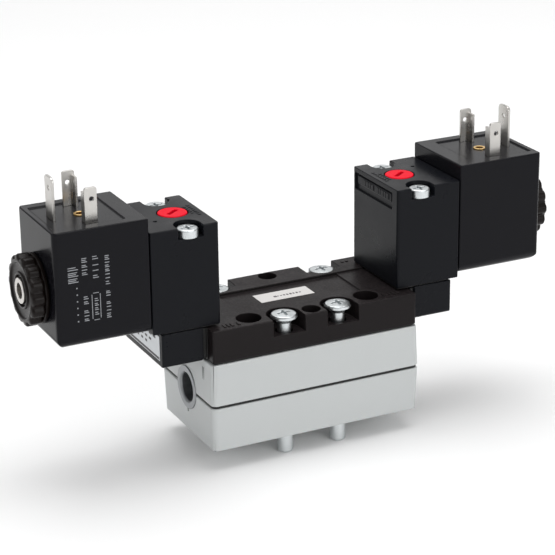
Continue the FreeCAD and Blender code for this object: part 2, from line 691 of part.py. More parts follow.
def pilot_screws():
    """Two cross-recessed screws that hold the pilot unit down."""
    screws = []
    size, depth = PILOT_RECESS
    head_top = PILOT_POCKET_FLOOR + PILOT_SCREW_HEAD_H
    for s in (-1, 1):
        y = s * PILOT_SCREW_Y
        head = post(PILOT_SCREW_HEAD_R, PILOT_X, y, (PILOT_POCKET_FLOOR, head_top))
        head = head.makeFillet(PILOT_SCREW_EDGE, [e for e in head.Edges if e.BoundBox.ZMin > head_top - 0.01])
        shank = post(PILOT_SCREW_R - 0.02, PILOT_X, y, (PILOT_SCREW_END + 0.3, PILOT_POCKET_FLOOR + 0.5))
        screws.append(fuse([head, shank]).cut(cross_recess(PILOT_X, y, head_top, size, depth)))
    return group(screws)


def pilot_seat():
    """Brass nozzle that the armature closes."""
    shell = fuse([bar(radius, (start, end), 0, COIL_AXIS_Z) for radius, start, end in SEAT_STEPS])
    inlet = bar(SEAT_INLET_R, (SEAT_X - 1, SEAT_INLET_END), 0, COIL_AXIS_Z)
    return shell.cut([bar(SEAT_BORE_R, (SEAT_X - 1, TUBE_FLANGE_X + 1), 0, COIL_AXIS_Z), inlet])


def tube_seal():
    """Round seal behind the stem's flange."""
    return ring_seal(TUBE_SEAL_R, TUBE_SEAL_WIRE_R, (SEAL_GROOVE_X + TUBE_FLANGE_X) / 2, COIL_AXIS_Z)


def armature_tube():
    """Guide tube, fixed core and threaded stem in one piece."""
    z = COIL_AXIS_Z
    core_face = ARMATURE_X[1] + ARMATURE_TRAVEL
    shell = fuse([bar(TUBE_FLANGE_R, (TUBE_FLANGE_X, HOUSING_OUTER), 0, z),
                  bar(TUBE_R, (TUBE_FLANGE_X, COIL_OUTER), 0, z),
                  bar(STEM_R, (COIL_OUTER - 1, STEM_END), 0, z)])
    shell = shell.cut([bar(TUBE_BORE_R, (TUBE_FLANGE_X - 1, core_face), 0, z),
                       bar(CORE_BORE_R, (core_face - 1, STEM_END + 1), 0, z),
                       bar(STEM_BORE_R, (STEM_END - 4, STEM_END + 1), 0, z)])
    return shell


def armature():
    """Sliding iron plunger with a spring pocket in its outer end and two air flats."""
    solid = bar(ARMATURE_R, ARMATURE_X, 0, COIL_AXIS_Z)
    pocket = bar(ARMATURE_POCKET_R, (ARMATURE_SPRING_X, ARMATURE_X[1] + 1), 0, COIL_AXIS_Z)
    length = (ARMATURE_X[0] - 1, ARMATURE_X[1] + 1)
    height = (COIL_AXIS_Z - ARMATURE_R - 1, COIL_AXIS_Z + ARMATURE_R + 1)
    flats = []
    for s in (-1, 1):
        flats.append(box(length, sorted((s * ARMATURE_FLAT_Y, s * (ARMATURE_R + 1))), height))
    return solid.cut([pocket] + flats)


def lay_along_x(shape):
    """Turn a shape drawn along Z so that it lies along X on the coil's axis."""
    shape.rotate(Vec(0, 0, 0), Vec(0, 1, 0), 90)
    shape.translate(Vec(0, 0, COIL_AXIS_Z))
    return shape


def armature_spring():
    span = (ARMATURE_SPRING_X + 0.05, ARMATURE_X[1] + ARMATURE_TRAVEL - 0.05)
    return coil_spring(ARMATURE_SPRING_R, SPRING_WIRE_R, span, 7, lay_along_x)


def stand_at_override(shape):
    """Move a shape drawn on the Z axis to the override's axis."""
    shape.translate(Vec(BUTTON_X, 0, 0))
    return shape


def override_spring():
    span = (SPRING_SEAT_Z + 0.02, PLUNGER_COLLAR_Z[0] - 0.02)
    return coil_spring(OVERRIDE_SPRING_R, SPRING_WIRE_R, span, 4, stand_at_override)


def override_plunger():
    """Stem with a spring collar and a neck that carries the button."""
    low, high = PLUNGER_COLLAR_Z
    tip = Part.makeCone(PLUNGER_R - PLUNGER_POINT, PLUNGER_R, PLUNGER_POINT, Vec(BUTTON_X, 0, PLUNGER_TIP))
    return fuse([tip, post(PLUNGER_R, BUTTON_X, 0, (PLUNGER_TIP + PLUNGER_POINT, low + 0.1)),
                 post(COLLAR_R, BUTTON_X, 0, (low, high)), post(NECK_R, BUTTON_X, 0, (high - 0.1, NECK_TOP))])


def override_cap():
    """Round button with a driver slot."""
    button = post(BUTTON_R, BUTTON_X, 0, (BUTTON_BOTTOM, BUTTON_TOP))
    button = button.makeFillet(BUTTON_EDGE, [e for e in button.Edges if e.BoundBox.ZMin > BUTTON_TOP - 0.01])
    length, width, depth = BUTTON_SLOT
    slot = box((BUTTON_X - length / 2, BUTTON_X + length / 2), (-width / 2, width / 2),
               (BUTTON_TOP - depth, BUTTON_TOP + 1))
    slot.rotate(Vec(BUTTON_X, 0, 0), Vec(0, 0, 1), SLOT_ANGLE)
    return button.cut([slot, post(NECK_R + 0.08, BUTTON_X, 0, (BUTTON_BOTTOM - 1, NECK_TOP + 0.05))])


# ---- coil, drawn on the right ---------------------------------------------------------
def coil_outer_form():
    """Moulded block: soft lower edges, crisp upper edges."""
    x = (COIL_INNER, COIL_OUTER)
    y = (-COIL_HALF_DEPTH, COIL_HALF_DEPTH)
    z = (COIL_BOTTOM, COIL_TOP)
    soft, crisp = COIL_SOFT_R, COIL_CRISP_R
    side = prism(y, z, (soft, soft, crisp, crisp), x, on_yz)
    front = prism(x, z, (crisp, soft, crisp, crisp), y, on_xz)
    plan = prism(x, y, (crisp, COIL_UPRIGHT_R, COIL_UPRIGHT_R, crisp), z, on_xy)
    return side.common(front).common(plan)


def yoke_form():
    """Bent steel frame: an end plate at each end of the winding and a strap over it."""
    y = (-YOKE_HALF_DEPTH, YOKE_HALF_DEPTH)
    start = WINDING_X[0] - YOKE_GAP - YOKE_T
    end = WINDING_X[1] + YOKE_GAP + YOKE_T
    plates = [box((start, start + YOKE_T), y, YOKE_Z), box((end - YOKE_T, end), y, YOKE_Z)]
    strap = box((start, end), y, (YOKE_Z[1] - YOKE_STRAP_T, YOKE_Z[1]))
    return fuse(plates + [strap]).cut(bar(WINDING_R[0], (start - 1, end + 1), 0, COIL_AXIS_Z))


def winding_form(grow):
    """Ring of copper wire round the bobbin, grown by a clearance."""
    x = (WINDING_X[0] - grow, WINDING_X[1] + grow)
    ring = bar(WINDING_R[1] + grow, x, 0, COIL_AXIS_Z)
    return ring.cut(bar(WINDING_R[0] - grow, (x[0] - 1, x[1] + 1), 0, COIL_AXIS_Z))


def coil_case():
    recess = box(*TOP_FIELD, (COIL_TOP - TOP_FIELD_DEPTH, COIL_TOP + 1))
    cuts = [bar(COIL_HOLE_R, (COIL_INNER - 1, COIL_OUTER + 1), 0, COIL_AXIS_Z), recess,
            winding_form(0.05), yoke_form(), power_blades(), earth_blade(),
            post(INSERT_R, TERMINAL_X, 0, (COIL_TOP - INSERT_DEPTH, COIL_TOP + 1))]
    return coil_outer_form().cut(cuts)


def coil_winding():
    return winding_form(0)


def coil_yoke():
    return yoke_form()


def power_blade(y, s):
    """Angle-section blade; its narrow flange points to the coil's centre line."""
    x = (TERMINAL_X - BLADE_W / 2, TERMINAL_X + BLADE_W / 2)
    thick = (y - BLADE_T / 2, y + BLADE_T / 2)
    plate = prism(x, (BLADE_ROOT, BLADE_TOP), (0.2, 0.2, BLADE_TIP_R, BLADE_TIP_R), thick, on_xz)
    inner = sorted((y, y - s * BLADE_FLANGE))
    edge = sorted((TERMINAL_X + s * BLADE_W / 2, TERMINAL_X + s * (BLADE_W / 2 - BLADE_T)))
    flange = box(edge, inner, (BLADE_ROOT, BLADE_TOP - BLADE_FLANGE_DROP))
    hole_at = Vec(TERMINAL_X - s * 0.3, y - 2, BLADE_TOP - BLADE_HOLE_DROP)
    hole = Part.makeCylinder(BLADE_HOLE_R, 4, hole_at, Vec(0, 1, 0))
    return fuse([plate, flange]).cut(hole)


def power_blades():
    return group(power_blade(s * BLADE_Y, s) for s in (-1, 1))


def earth_blade():
    """Flat blade across the outer end of the terminal field."""
    half = EARTH_W / 2
    low = (BLADE_ROOT, EARTH_TOP)
    thick = (EARTH_X - BLADE_T / 2, EARTH_X + BLADE_T / 2)
    plate = prism((-half, half), low, (0.2, 0.2, EARTH_TIP_R, EARTH_TIP_R), thick, on_yz)
    return plate.cut(bar(BLADE_HOLE_R, (EARTH_X - 2, EARTH_X + 2), 0, EARTH_TOP - BLADE_HOLE_DROP))


def terminal_insert():
    """Threaded brass insert for the plug's screw."""
    z = (COIL_TOP - INSERT_DEPTH, COIL_TOP - 0.1)
    return post(INSERT_R, TERMINAL_X, 0, z).cut(post(INSERT_HOLE_R, TERMINAL_X, 0, (z[0] + 1, COIL_TOP)))


def nut_flutes():
    """Tools for the finger flutes round the grip."""
    span = (NUT_X[0] + NUT_FLANGE_T - 0.1, NUT_X[1] + 1)
    flutes = []
    for i in range(NUT_FLUTES):
        a = 2 * math.pi * i / NUT_FLUTES
        y = NUT_FLUTE_CENTRE_R * math.cos(a)
        flutes.append(bar(NUT_FLUTE_R, span, y, COIL_AXIS_Z + NUT_FLUTE_CENTRE_R * math.sin(a)))
    return flutes


def coil_nut():
    """Fluted hand nut with a rear flange and a dished front."""
    back, face = NUT_X
    z = COIL_AXIS_Z
    shoulder = face - NUT_CHAMFER
    grip = bar(NUT_GRIP_R, (back + NUT_FLANGE_T - 0.1, shoulder), 0, z)
    chamfer = Part.makeCone(NUT_GRIP_R, NUT_FACE_R, NUT_CHAMFER, Vec(shoulder, 0, z), Vec(1, 0, 0))
    fluted = fuse([grip, chamfer]).cut(nut_flutes())
    body = fuse([fluted, bar(NUT_FLANGE_R, (back, back + NUT_FLANGE_T), 0, z)])
    inner, outer = NUT_DISH_R
    dish = bar(outer, (face - NUT_DISH_DEPTH, face + 1), 0, z).cut(bar(inner, (back, face + 2), 0, z))
    bore = bar(NUT_BORE_R, (back - 1, face + 1), 0, z)
    return body.cut([bore, dish, bar(NUT_COUNTERBORE_R, (face - NUT_COUNTERBORE_DEPTH, face + 1), 0, z)])


RIGHT_PIECES = {
    "port_bush": port_bush, "end_cap": end_cap, "end_cap_gasket": end_cap_gasket,
    "end_cap_screws": end_cap_screws, "pilot_gasket": pilot_gasket, "pilot_housing": pilot_housing,
    "pilot_screws": pilot_screws, "pilot_seat": pilot_seat, "tube_seal": tube_seal,
    "armature_tube": armature_tube, "armature": armature, "armature_spring": armature_spring,
    "override_spring": override_spring, "override_plunger": override_plunger,
    "override_cap": override_cap, "coil_case": coil_case, "coil_winding": coil_winding,
    "coil_yoke": coil_yoke, "power_blades": power_blades, "earth_blade": earth_blade,
    "terminal_insert": terminal_insert, "coil_nut": coil_nut,
}
CENTRE_PIECES = {
    "base_lower": base_lower, "seam_gasket": seam_gasket, "base_upper": base_upper,
    "interface_seal": interface_seal, "valve_body": valve_body, "spool_sleeve": spool_sleeve,
    "spool": spool, "spool_seals": spool_seals, "mounting_screws": mounting_screws,
    "rating_label": rating_label, "end_label": end_label,
}


def half_turn(shape):
    """The left-hand copy of a right-hand piece."""
    copy = shape.copy()
    copy.rotate(Vec(0, 0, 0), Vec(0, 0, 1), 180)
    return copy


def save(shape, node):
    """Write one node and report its volume and validity."""
    shape.exportStep(f"parts/{node}.step")
    print(f"{node:24s} {shape.Volume:10.1f} mm3  solids {len(shape.Solids)}  valid {shape.isValid()}")


def main():
    os.makedirs("parts", exist_ok=True)
    for node, make in CENTRE_PIECES.items():
        save(make(), node)
    for node, make in RIGHT_PIECES.items():
        shape = make()
        save(shape, f"right_{node}")
        save(half_turn(shape), f"left_{node}")
    for side, s in (("right", 1), ("left", -1)):
        save(pilot_piston(s), f"{side}_pilot_piston")
        save(piston_seal(s), f"{side}_piston_seal")


main()
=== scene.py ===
"""Looks of a double-solenoid spool valve on a two-layer ported base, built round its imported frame.

Each sub-assembly is a class that holds its own sizes in metres, builds its meshes in place and
dresses them.  Right-hand pieces are drawn at +X, and the left ones are turned half way round Z.
"""
import logging
import math
from dataclasses import dataclass, field
from enum import Enum
from typing import Callable, Iterable, Optional, Sequence

import bmesh
import bpy
from mathutils import Matrix, Vector


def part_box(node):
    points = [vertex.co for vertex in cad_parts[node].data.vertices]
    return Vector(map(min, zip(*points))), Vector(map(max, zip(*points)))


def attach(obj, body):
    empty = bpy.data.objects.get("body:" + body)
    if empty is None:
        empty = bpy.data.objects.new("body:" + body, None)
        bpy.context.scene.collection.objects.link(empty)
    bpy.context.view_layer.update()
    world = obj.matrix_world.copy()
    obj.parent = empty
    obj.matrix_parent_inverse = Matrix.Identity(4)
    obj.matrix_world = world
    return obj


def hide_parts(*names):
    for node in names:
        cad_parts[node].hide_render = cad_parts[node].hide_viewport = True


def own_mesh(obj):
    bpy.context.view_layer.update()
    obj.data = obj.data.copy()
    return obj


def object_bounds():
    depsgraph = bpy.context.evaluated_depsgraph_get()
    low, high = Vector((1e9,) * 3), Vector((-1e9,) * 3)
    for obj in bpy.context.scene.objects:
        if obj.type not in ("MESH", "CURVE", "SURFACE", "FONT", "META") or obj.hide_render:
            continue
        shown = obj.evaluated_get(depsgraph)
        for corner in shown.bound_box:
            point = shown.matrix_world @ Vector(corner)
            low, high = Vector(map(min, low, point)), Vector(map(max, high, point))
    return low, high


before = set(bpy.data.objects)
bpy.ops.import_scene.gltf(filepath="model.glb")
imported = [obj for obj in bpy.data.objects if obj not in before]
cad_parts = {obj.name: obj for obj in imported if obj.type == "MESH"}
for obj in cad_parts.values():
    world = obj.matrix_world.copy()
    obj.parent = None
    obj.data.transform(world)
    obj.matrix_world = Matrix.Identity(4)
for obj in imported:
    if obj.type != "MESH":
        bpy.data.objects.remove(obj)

CAD_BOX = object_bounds()
LOG = logging.getLogger("valve")
MM = 0.001
WELD = 1e-6
Colour = tuple[float, float, float]
Range = tuple[float, float]


class Side(Enum):
    """The valve's two ends; each value is the sign of its X."""

    LEFT = -1
    RIGHT = 1

    @property
    def label(self) -> str:
        """Name used at the front of node names."""
        return self.name.lower()

    @property
    def turn(self) -> Matrix:
        """Rotation from the right-hand drawing to this side."""
        return Matrix.Rotation(0.0 if self is Side.RIGHT else math.pi, 4, "Z")


# ---- node helpers ---------------------------------------------------------------------------
def add_node(tree: bpy.types.NodeTree, kind: str, inputs: Optional[dict] = None,
             **attributes) -> bpy.types.Node:
    """Add a node, set its attributes and feed its inputs.

    Args:
        tree: Tree that gets the node.
        kind: Blender's identifier of the node type.
        inputs: Input name or index to a value, or to a socket that is linked to it.
        attributes: Attributes of the node itself.

    Returns:
        The new node.
    """
    node = tree.nodes.new(kind)
    for key, value in attributes.items():
        setattr(node, key, value)
    for key, value in (inputs or {}).items():
        if isinstance(value, bpy.types.NodeSocket):
            tree.links.new(value, node.inputs[key])
        else:
            node.inputs[key].default_value = value
    return node


def math_node(tree: bpy.types.NodeTree, operation: str, *values) -> bpy.types.NodeSocket:
    """Output of a math node whose inputs are numbers or sockets."""
    return add_node(tree, "ShaderNodeMath", dict(enumerate(values)), operation=operation).outputs[0]


def new_group(name: str, kind: str, sockets: Sequence[tuple]) -> tuple:
    """Make a node group with its interface.

    Args:
        name: Name of the group.
        kind: "ShaderNodeTree" or "GeometryNodeTree".
        sockets: (name, direction, socket type, default or None) of each socket.

    Returns:
        The tree, its input node and its output node.
    """
    tree = bpy.data.node_groups.new(name, kind)
    for label, direction, socket_type, default in sockets:
        socket = tree.interface.new_socket(label, in_out=direction, socket_type=socket_type)
        if default is not None:
            socket.default_value = default
    return tree, tree.nodes.new("NodeGroupInput"), tree.nodes.new("NodeGroupOutput")


# ---- shared surface effects -----------------------------------------------------------------
def build_mottle() -> bpy.types.NodeTree:
    """Colour that drifts a little from place to place, as moulded and painted surfaces do."""
    tree, given, out = new_group("mottle", "ShaderNodeTree", (
        ("Vector", "INPUT", "NodeSocketVector", None), ("Colour", "INPUT", "NodeSocketColor", None),
        ("Scale", "INPUT", "NodeSocketFloat", 60.0), ("Amount", "INPUT", "NodeSocketFloat", 0.1),
        ("Colour", "OUTPUT", "NodeSocketColor", None), ("Mask", "OUTPUT", "NodeSocketFloat", None)))
    noise = add_node(tree, "ShaderNodeTexNoise",
                     {"Vector": given.outputs["Vector"], "Scale": given.outputs["Scale"],
                      "Detail": 4.0, "Roughness": 0.6})
    spread = math_node(tree, "SUBTRACT", noise.outputs[0], 0.5)
    gain = math_node(tree, "MULTIPLY_ADD", spread, given.outputs["Amount"], 1.0)
    tinted = add_node(tree, "ShaderNodeVectorMath", {0: given.outputs["Colour"], "Scale": gain},
                      operation="SCALE")
    tree.links.new(tinted.outputs[0], out.inputs["Colour"])
    tree.links.new(noise.outputs[0], out.inputs["Mask"])
    return tree


def build_grain() -> bpy.types.NodeTree:
    """Fine height for a moulded or sprayed skin, with sparse longer scuffs."""
    tree, given, out = new_group("grain", "ShaderNodeTree", (
        ("Vector", "INPUT", "NodeSocketVector", None), ("Scale", "INPUT", "NodeSocketFloat", 900.0),
        ("Scuffs", "INPUT", "NodeSocketFloat", 0.3), ("Height", "OUTPUT", "NodeSocketFloat", None)))
    pores = add_node(tree, "ShaderNodeTexNoise",
                     {"Vector": given.outputs["Vector"], "Scale": given.outputs["Scale"],
                      "Detail": 2.0, "Roughness": 0.5})
    wide = math_node(tree, "MULTIPLY", given.outputs["Scale"], 0.12)
    swell = add_node(tree, "ShaderNodeTexNoise",
                     {"Vector": given.outputs["Vector"], "Scale": wide, "Detail": 1.0})
    scuffed = math_node(tree, "MULTIPLY", swell.outputs[0], given.outputs["Scuffs"])
    tree.links.new(math_node(tree, "ADD", pores.outputs[0], scuffed), out.inputs["Height"])
    return tree


def build_edge_wear() -> bpy.types.NodeTree:
    """Mask of the narrow band along an edge, broken up by noise."""
    tree, given, out = new_group("edge_wear", "ShaderNodeTree", (
        ("Vector", "INPUT", "NodeSocketVector", None), ("Width", "INPUT", "NodeSocketFloat", 0.0004),
        ("Amount", "INPUT", "NodeSocketFloat", 0.5), ("Mask", "OUTPUT", "NodeSocketFloat", None)))
    rounded = add_node(tree, "ShaderNodeBevel", {"Radius": given.outputs["Width"]}, samples=4)
    flat = tree.nodes.new("ShaderNodeNewGeometry")
    dot = add_node(tree, "ShaderNodeVectorMath", {0: rounded.outputs[0], 1: flat.outputs["Normal"]},
                   operation="DOT_PRODUCT")
    band = add_node(tree, "ShaderNodeMapRange",
                    {"Value": dot.outputs["Value"], "From Min": 0.995, "From Max": 0.9})
    noise = add_node(tree, "ShaderNodeTexNoise",
                     {"Vector": given.outputs["Vector"], "Scale": 420.0, "Detail": 3.0})
    broken = add_node(tree, "ShaderNodeMapRange",
                      {"Value": noise.outputs[0], "From Min": 0.35, "From Max": 0.65})
    worn = math_node(tree, "MULTIPLY", band.outputs[0], broken.outputs[0])
    tree.links.new(math_node(tree, "MULTIPLY", worn, given.outputs["Amount"]), out.inputs["Mask"])
    return tree


def build_dust() -> bpy.types.NodeTree:
    """Mask of light dust on surfaces that face up."""
    tree, given, out = new_group("dust", "ShaderNodeTree", (
        ("Vector", "INPUT", "NodeSocketVector", None), ("Amount", "INPUT", "NodeSocketFloat", 0.1),
        ("Mask", "OUTPUT", "NodeSocketFloat", None)))
    flat = tree.nodes.new("ShaderNodeNewGeometry")
    up = add_node(tree, "ShaderNodeSeparateXYZ", {0: flat.outputs["Normal"]})
    level = add_node(tree, "ShaderNodeMapRange", {"Value": up.outputs["Z"], "From Min": 0.6, "From Max": 1.0})
    specks = add_node(tree, "ShaderNodeTexNoise",
                      {"Vector": given.outputs["Vector"], "Scale": 1500.0, "Detail": 2.0})
    sparse = add_node(tree, "ShaderNodeMapRange",
                      {"Value": specks.outputs[0], "From Min": 0.45, "From Max": 0.75})
    resting = math_node(tree, "MULTIPLY", level.outputs[0], sparse.outputs[0])
    tree.links.new(math_node(tree, "MULTIPLY", resting, given.outputs["Amount"]), out.inputs["Mask"])
    return tree


EFFECTS = {"mottle": build_mottle(), "grain": build_grain(), "edge_wear": build_edge_wear(),
           "dust": build_dust()}


@dataclass(frozen=True)
class Finish:
    """A surface finish: its colour, gloss and the small faults that make it real."""

    name: str
    slot: str
    colour: Colour
    roughness: float = 0.45
    metallic: float = 0.0
    specular: float = 0.5
    coat: float = 0.0
    coat_roughness: float = 0.1
    mottle_scale: float = 60.0
    mottle: float = 0.12
    roughness_swing: float = 0.08
    grain_scale: float = 900.0
    grain: float = 0.00001
    scuffs: float = 0.3
    wear: float = 0.0
    wear_colour: Colour = (0.5, 0.5, 0.5)
    wear_width: float = 0.0004
    dust: float = 0.0
    dust_colour: Colour = (0.35, 0.34, 0.33)

    def effect(self, tree: bpy.types.NodeTree, name: str, place: bpy.types.NodeSocket,
               **inputs) -> bpy.types.Node:
        """Place one shared effect in this finish's material and feed its inputs."""
        node = add_node(tree, "ShaderNodeGroup", node_tree=EFFECTS[name])
        tree.links.new(place, node.inputs["Vector"])
        for key, value in inputs.items():
            node.inputs[key].default_value = value
        return node

    def overlay(self, tree: bpy.types.NodeTree, under: bpy.types.NodeSocket, mask: bpy.types.NodeSocket,
                colour: Colour) -> bpy.types.NodeSocket:
        """Colour with another one laid over it where the mask says."""
        mix = add_node(tree, "ShaderNodeMix", data_type="RGBA")
        tree.links.new(mask, mix.inputs["Factor"])
        tree.links.new(under, mix.inputs[6])
        mix.inputs[7].default_value = (*colour, 1.0)
        return mix.outputs[2]

    def material(self) -> bpy.types.Material:
        """Build the finish's material, or return it if it has been built.

        Returns:
            The node material.
        """
        known = bpy.data.materials.get(self.name)
        if known:
            return known
        made = bpy.data.materials.new(self.name)
        made.use_nodes = True
        tree = made.node_tree
        shader = tree.nodes["Principled BSDF"]
        place = tree.nodes.new("ShaderNodeTexCoord").outputs["Object"]
        base = self.effect(tree, "mottle", place, Colour=(*self.colour, 1.0), Scale=self.mottle_scale,
                           Amount=self.mottle)
        colour = base.outputs["Colour"]
        if self.wear:
            worn = self.effect(tree, "edge_wear", place, Amount=self.wear, Width=self.wear_width)
            colour = self.overlay(tree, colour, worn.outputs["Mask"], self.wear_colour)
        if self.dust:
            dusty = self.effect(tree, "dust", place, Amount=self.dust)
            colour = self.overlay(tree, colour, dusty.outputs["Mask"], self.dust_colour)
        tree.links.new(colour, shader.inputs["Base Color"])
        swing = add_node(tree, "ShaderNodeMapRange",
                         {"Value": base.outputs["Mask"], "From Min": 0.3, "From Max": 0.7,
                          "To Min": self.roughness - self.roughness_swing,
                          "To Max": self.roughness + self.roughness_swing})
        tree.links.new(swing.outputs[0], shader.inputs["Roughness"])
        skin = self.effect(tree, "grain", place, Scale=self.grain_scale, Scuffs=self.scuffs)
        bump = add_node(tree, "ShaderNodeBump", {"Height": skin.outputs["Height"], "Distance": self.grain})
        tree.links.new(bump.outputs[0], shader.inputs["Normal"])
        shader.inputs["Metallic"].default_value = self.metallic
        shader.inputs["Specular IOR Level"].default_value = self.specular
        shader.inputs["Coat Weight"].default_value = self.coat
        shader.inputs["Coat Roughness"].default_value = self.coat_roughness
        return made


BASE_PAINT = Finish("light_grey_paint", "base_paint", (0.545, 0.565, 0.565), roughness=0.42,
                    mottle_scale=35.0, mottle=0.03, grain_scale=700.0, grain=0.000006, scuffs=1.2,
                    wear=0.2, wear_colour=(0.66, 0.68, 0.69), dust=0.04, specular=0.3)
BODY_COATING = Finish("brown_black_coating", "body_coating", (0.0110, 0.0088, 0.0092), roughness=0.42,
                      specular=0.12, mottle_scale=90.0, mottle=0.35, grain_scale=1500.0, grain=0.00002,
                      scuffs=0.8, wear=0.3, wear_colour=(0.10, 0.09, 0.085), wear_width=0.0002, dust=0.12,
                      dust_colour=(0.20, 0.16, 0.165))
HOUSING_PLASTIC = Finish("housing_black", "housing_plastic", (0.0052, 0.0058, 0.0080), roughness=0.32,
                         specular=0.12, mottle=0.10, grain_scale=1200.0, grain=0.000006, wear=0.12,
                         wear_colour=(0.05, 0.05, 0.055), wear_width=0.00025, dust=0.03,
                         dust_colour=(0.2, 0.2, 0.21))
COIL_PLASTIC = Finish("coil_resin", "coil_plastic", (0.0056, 0.0056, 0.0076), roughness=0.23,
                      specular=0.12, mottle_scale=28.0, mottle=0.18, roughness_swing=0.05,
                      grain_scale=500.0, grain=0.000005, scuffs=2.0, wear=0.12,
                      wear_colour=(0.05, 0.05, 0.055), wear_width=0.00025, dust=0.05,
                      dust_colour=(0.2, 0.19, 0.2))
NUT_PLASTIC = Finish("nut_moulding", "nut_plastic", (0.0065, 0.0042, 0.0036), roughness=0.28,
                     specular=0.16, mottle=0.2, grain_scale=1400.0, grain=0.000006, wear=0.1,
                     wear_colour=(0.05, 0.04, 0.035), wear_width=0.0002)
RED_PLASTIC = Finish("red_moulding", "red_plastic", (0.78, 0.004, 0.022), roughness=0.45, mottle=0.05,
                     specular=0.06, grain_scale=1500.0, grain=0.000004)
SLOT_RED = Finish("slot_shade", "red_plastic", (0.22, 0.004, 0.010), roughness=0.6, specular=0.1)
RUBBER = Finish("black_rubber", "rubber", (0.008, 0.008, 0.008), roughness=0.62, mottle=0.25,
                grain_scale=2000.0, grain=0.00001)
ZINC = Finish("bright_zinc", "zinc_steel", (0.68, 0.71, 0.72), roughness=0.38, metallic=1.0,
              mottle_scale=140.0, mottle=0.12, grain_scale=900.0, grain=0.000006, scuffs=1.0, wear=0.2,
              wear_colour=(0.95, 0.95, 0.95))
STAINLESS = Finish("turned_stainless", "stainless", (0.60, 0.58, 0.55), roughness=0.28, metallic=1.0,
                   mottle=0.1, grain=0.000003)
NICKEL = Finish("nickel_sheet", "nickel", (0.58, 0.565, 0.54), roughness=0.29, metallic=1.0,
                mottle_scale=110.0, mottle=0.14, grain_scale=600.0, grain=0.000006, scuffs=1.4)
BUSH_METAL = Finish("machined_bush", "bush_metal", (0.30, 0.31, 0.32), roughness=0.42, metallic=0.9,
                    mottle=0.15)
ALUMINIUM = Finish("ground_aluminium", "aluminium", (0.72, 0.73, 0.74), roughness=0.3, metallic=1.0)
BRASS = Finish("turned_brass", "brass", (0.78, 0.52, 0.20), roughness=0.24, metallic=1.0)
COPPER = Finish("enamelled_copper", "copper", (0.66, 0.27, 0.12), roughness=0.33, metallic=1.0, coat=0.4)
WHITE_LABEL = Finish("white_film", "white_label", (0.66, 0.64, 0.625), roughness=0.38, mottle=0.03,
                     grain=0.000002)
METAL_LABEL = Finish("silver_foil", "metal_label", (0.60, 0.62, 0.64), roughness=0.38, metallic=0.7,
                     mottle=0.08)
LABEL_INK = Finish("dark_ink", "white_label", (0.05, 0.045, 0.05), roughness=0.5)
PRINT_INK = Finish("pale_print", "coil_plastic", (0.30, 0.31, 0.33), roughness=0.55, mottle=0.5,
                   mottle_scale=900.0)
GROOVE_SHADE = Finish("groove_shade", "base_paint", (0.14, 0.145, 0.15), roughness=0.7)

INNER_FINISHES = {
    "spool": ALUMINIUM, "spool_sleeve": ALUMINIUM, "spool_seals": RUBBER, "pilot_piston": ALUMINIUM,
    "piston_seal": RUBBER, "pilot_seat": BRASS, "tube_seal": RUBBER, "armature": STAINLESS,
    "override_plunger": BRASS, "coil_yoke": ZINC, "armature_tube": STAINLESS,
}


# ---- mesh helpers ---------------------------------------------------------------------------
def link(name: str, mesh: bpy.types.Mesh) -> bpy.types.Object:
    """Put a mesh in the scene as an object at the origin."""
    made = bpy.data.objects.new(name, mesh)
    bpy.context.scene.collection.objects.link(made)
    return made


def from_bmesh(name: str, shape: bmesh.types.BMesh, smooth: float = 35.0) -> bpy.types.Object:
    """Make an object from a bmesh, with outward faces and smooth shading up to an angle.

    Args:
        name: Name of the object.
        shape: The bmesh, which is freed.
        smooth: Edges sharper than this many degrees stay sharp.

    Returns:
        The linked object.
    """
    bmesh.ops.remove_doubles(shape, verts=shape.verts, dist=WELD)
    bmesh.ops.recalc_face_normals(shape, faces=shape.faces)
    mesh = bpy.data.meshes.new(name)
    shape.to_mesh(mesh)
    shape.free()
    mesh.shade_smooth()
    mesh.set_sharp_from_angle(angle=math.radians(smooth))
    return link(name, mesh)


def plain(piece: bpy.types.Object) -> bpy.types.Object:
    """Turn a piece's modifiers into its mesh and remove them."""
    graph = bpy.context.evaluated_depsgraph_get()
    mesh = bpy.data.meshes.new_from_object(piece.evaluated_get(graph), depsgraph=graph)
    piece.modifiers.clear()
    piece.data = mesh
    return piece


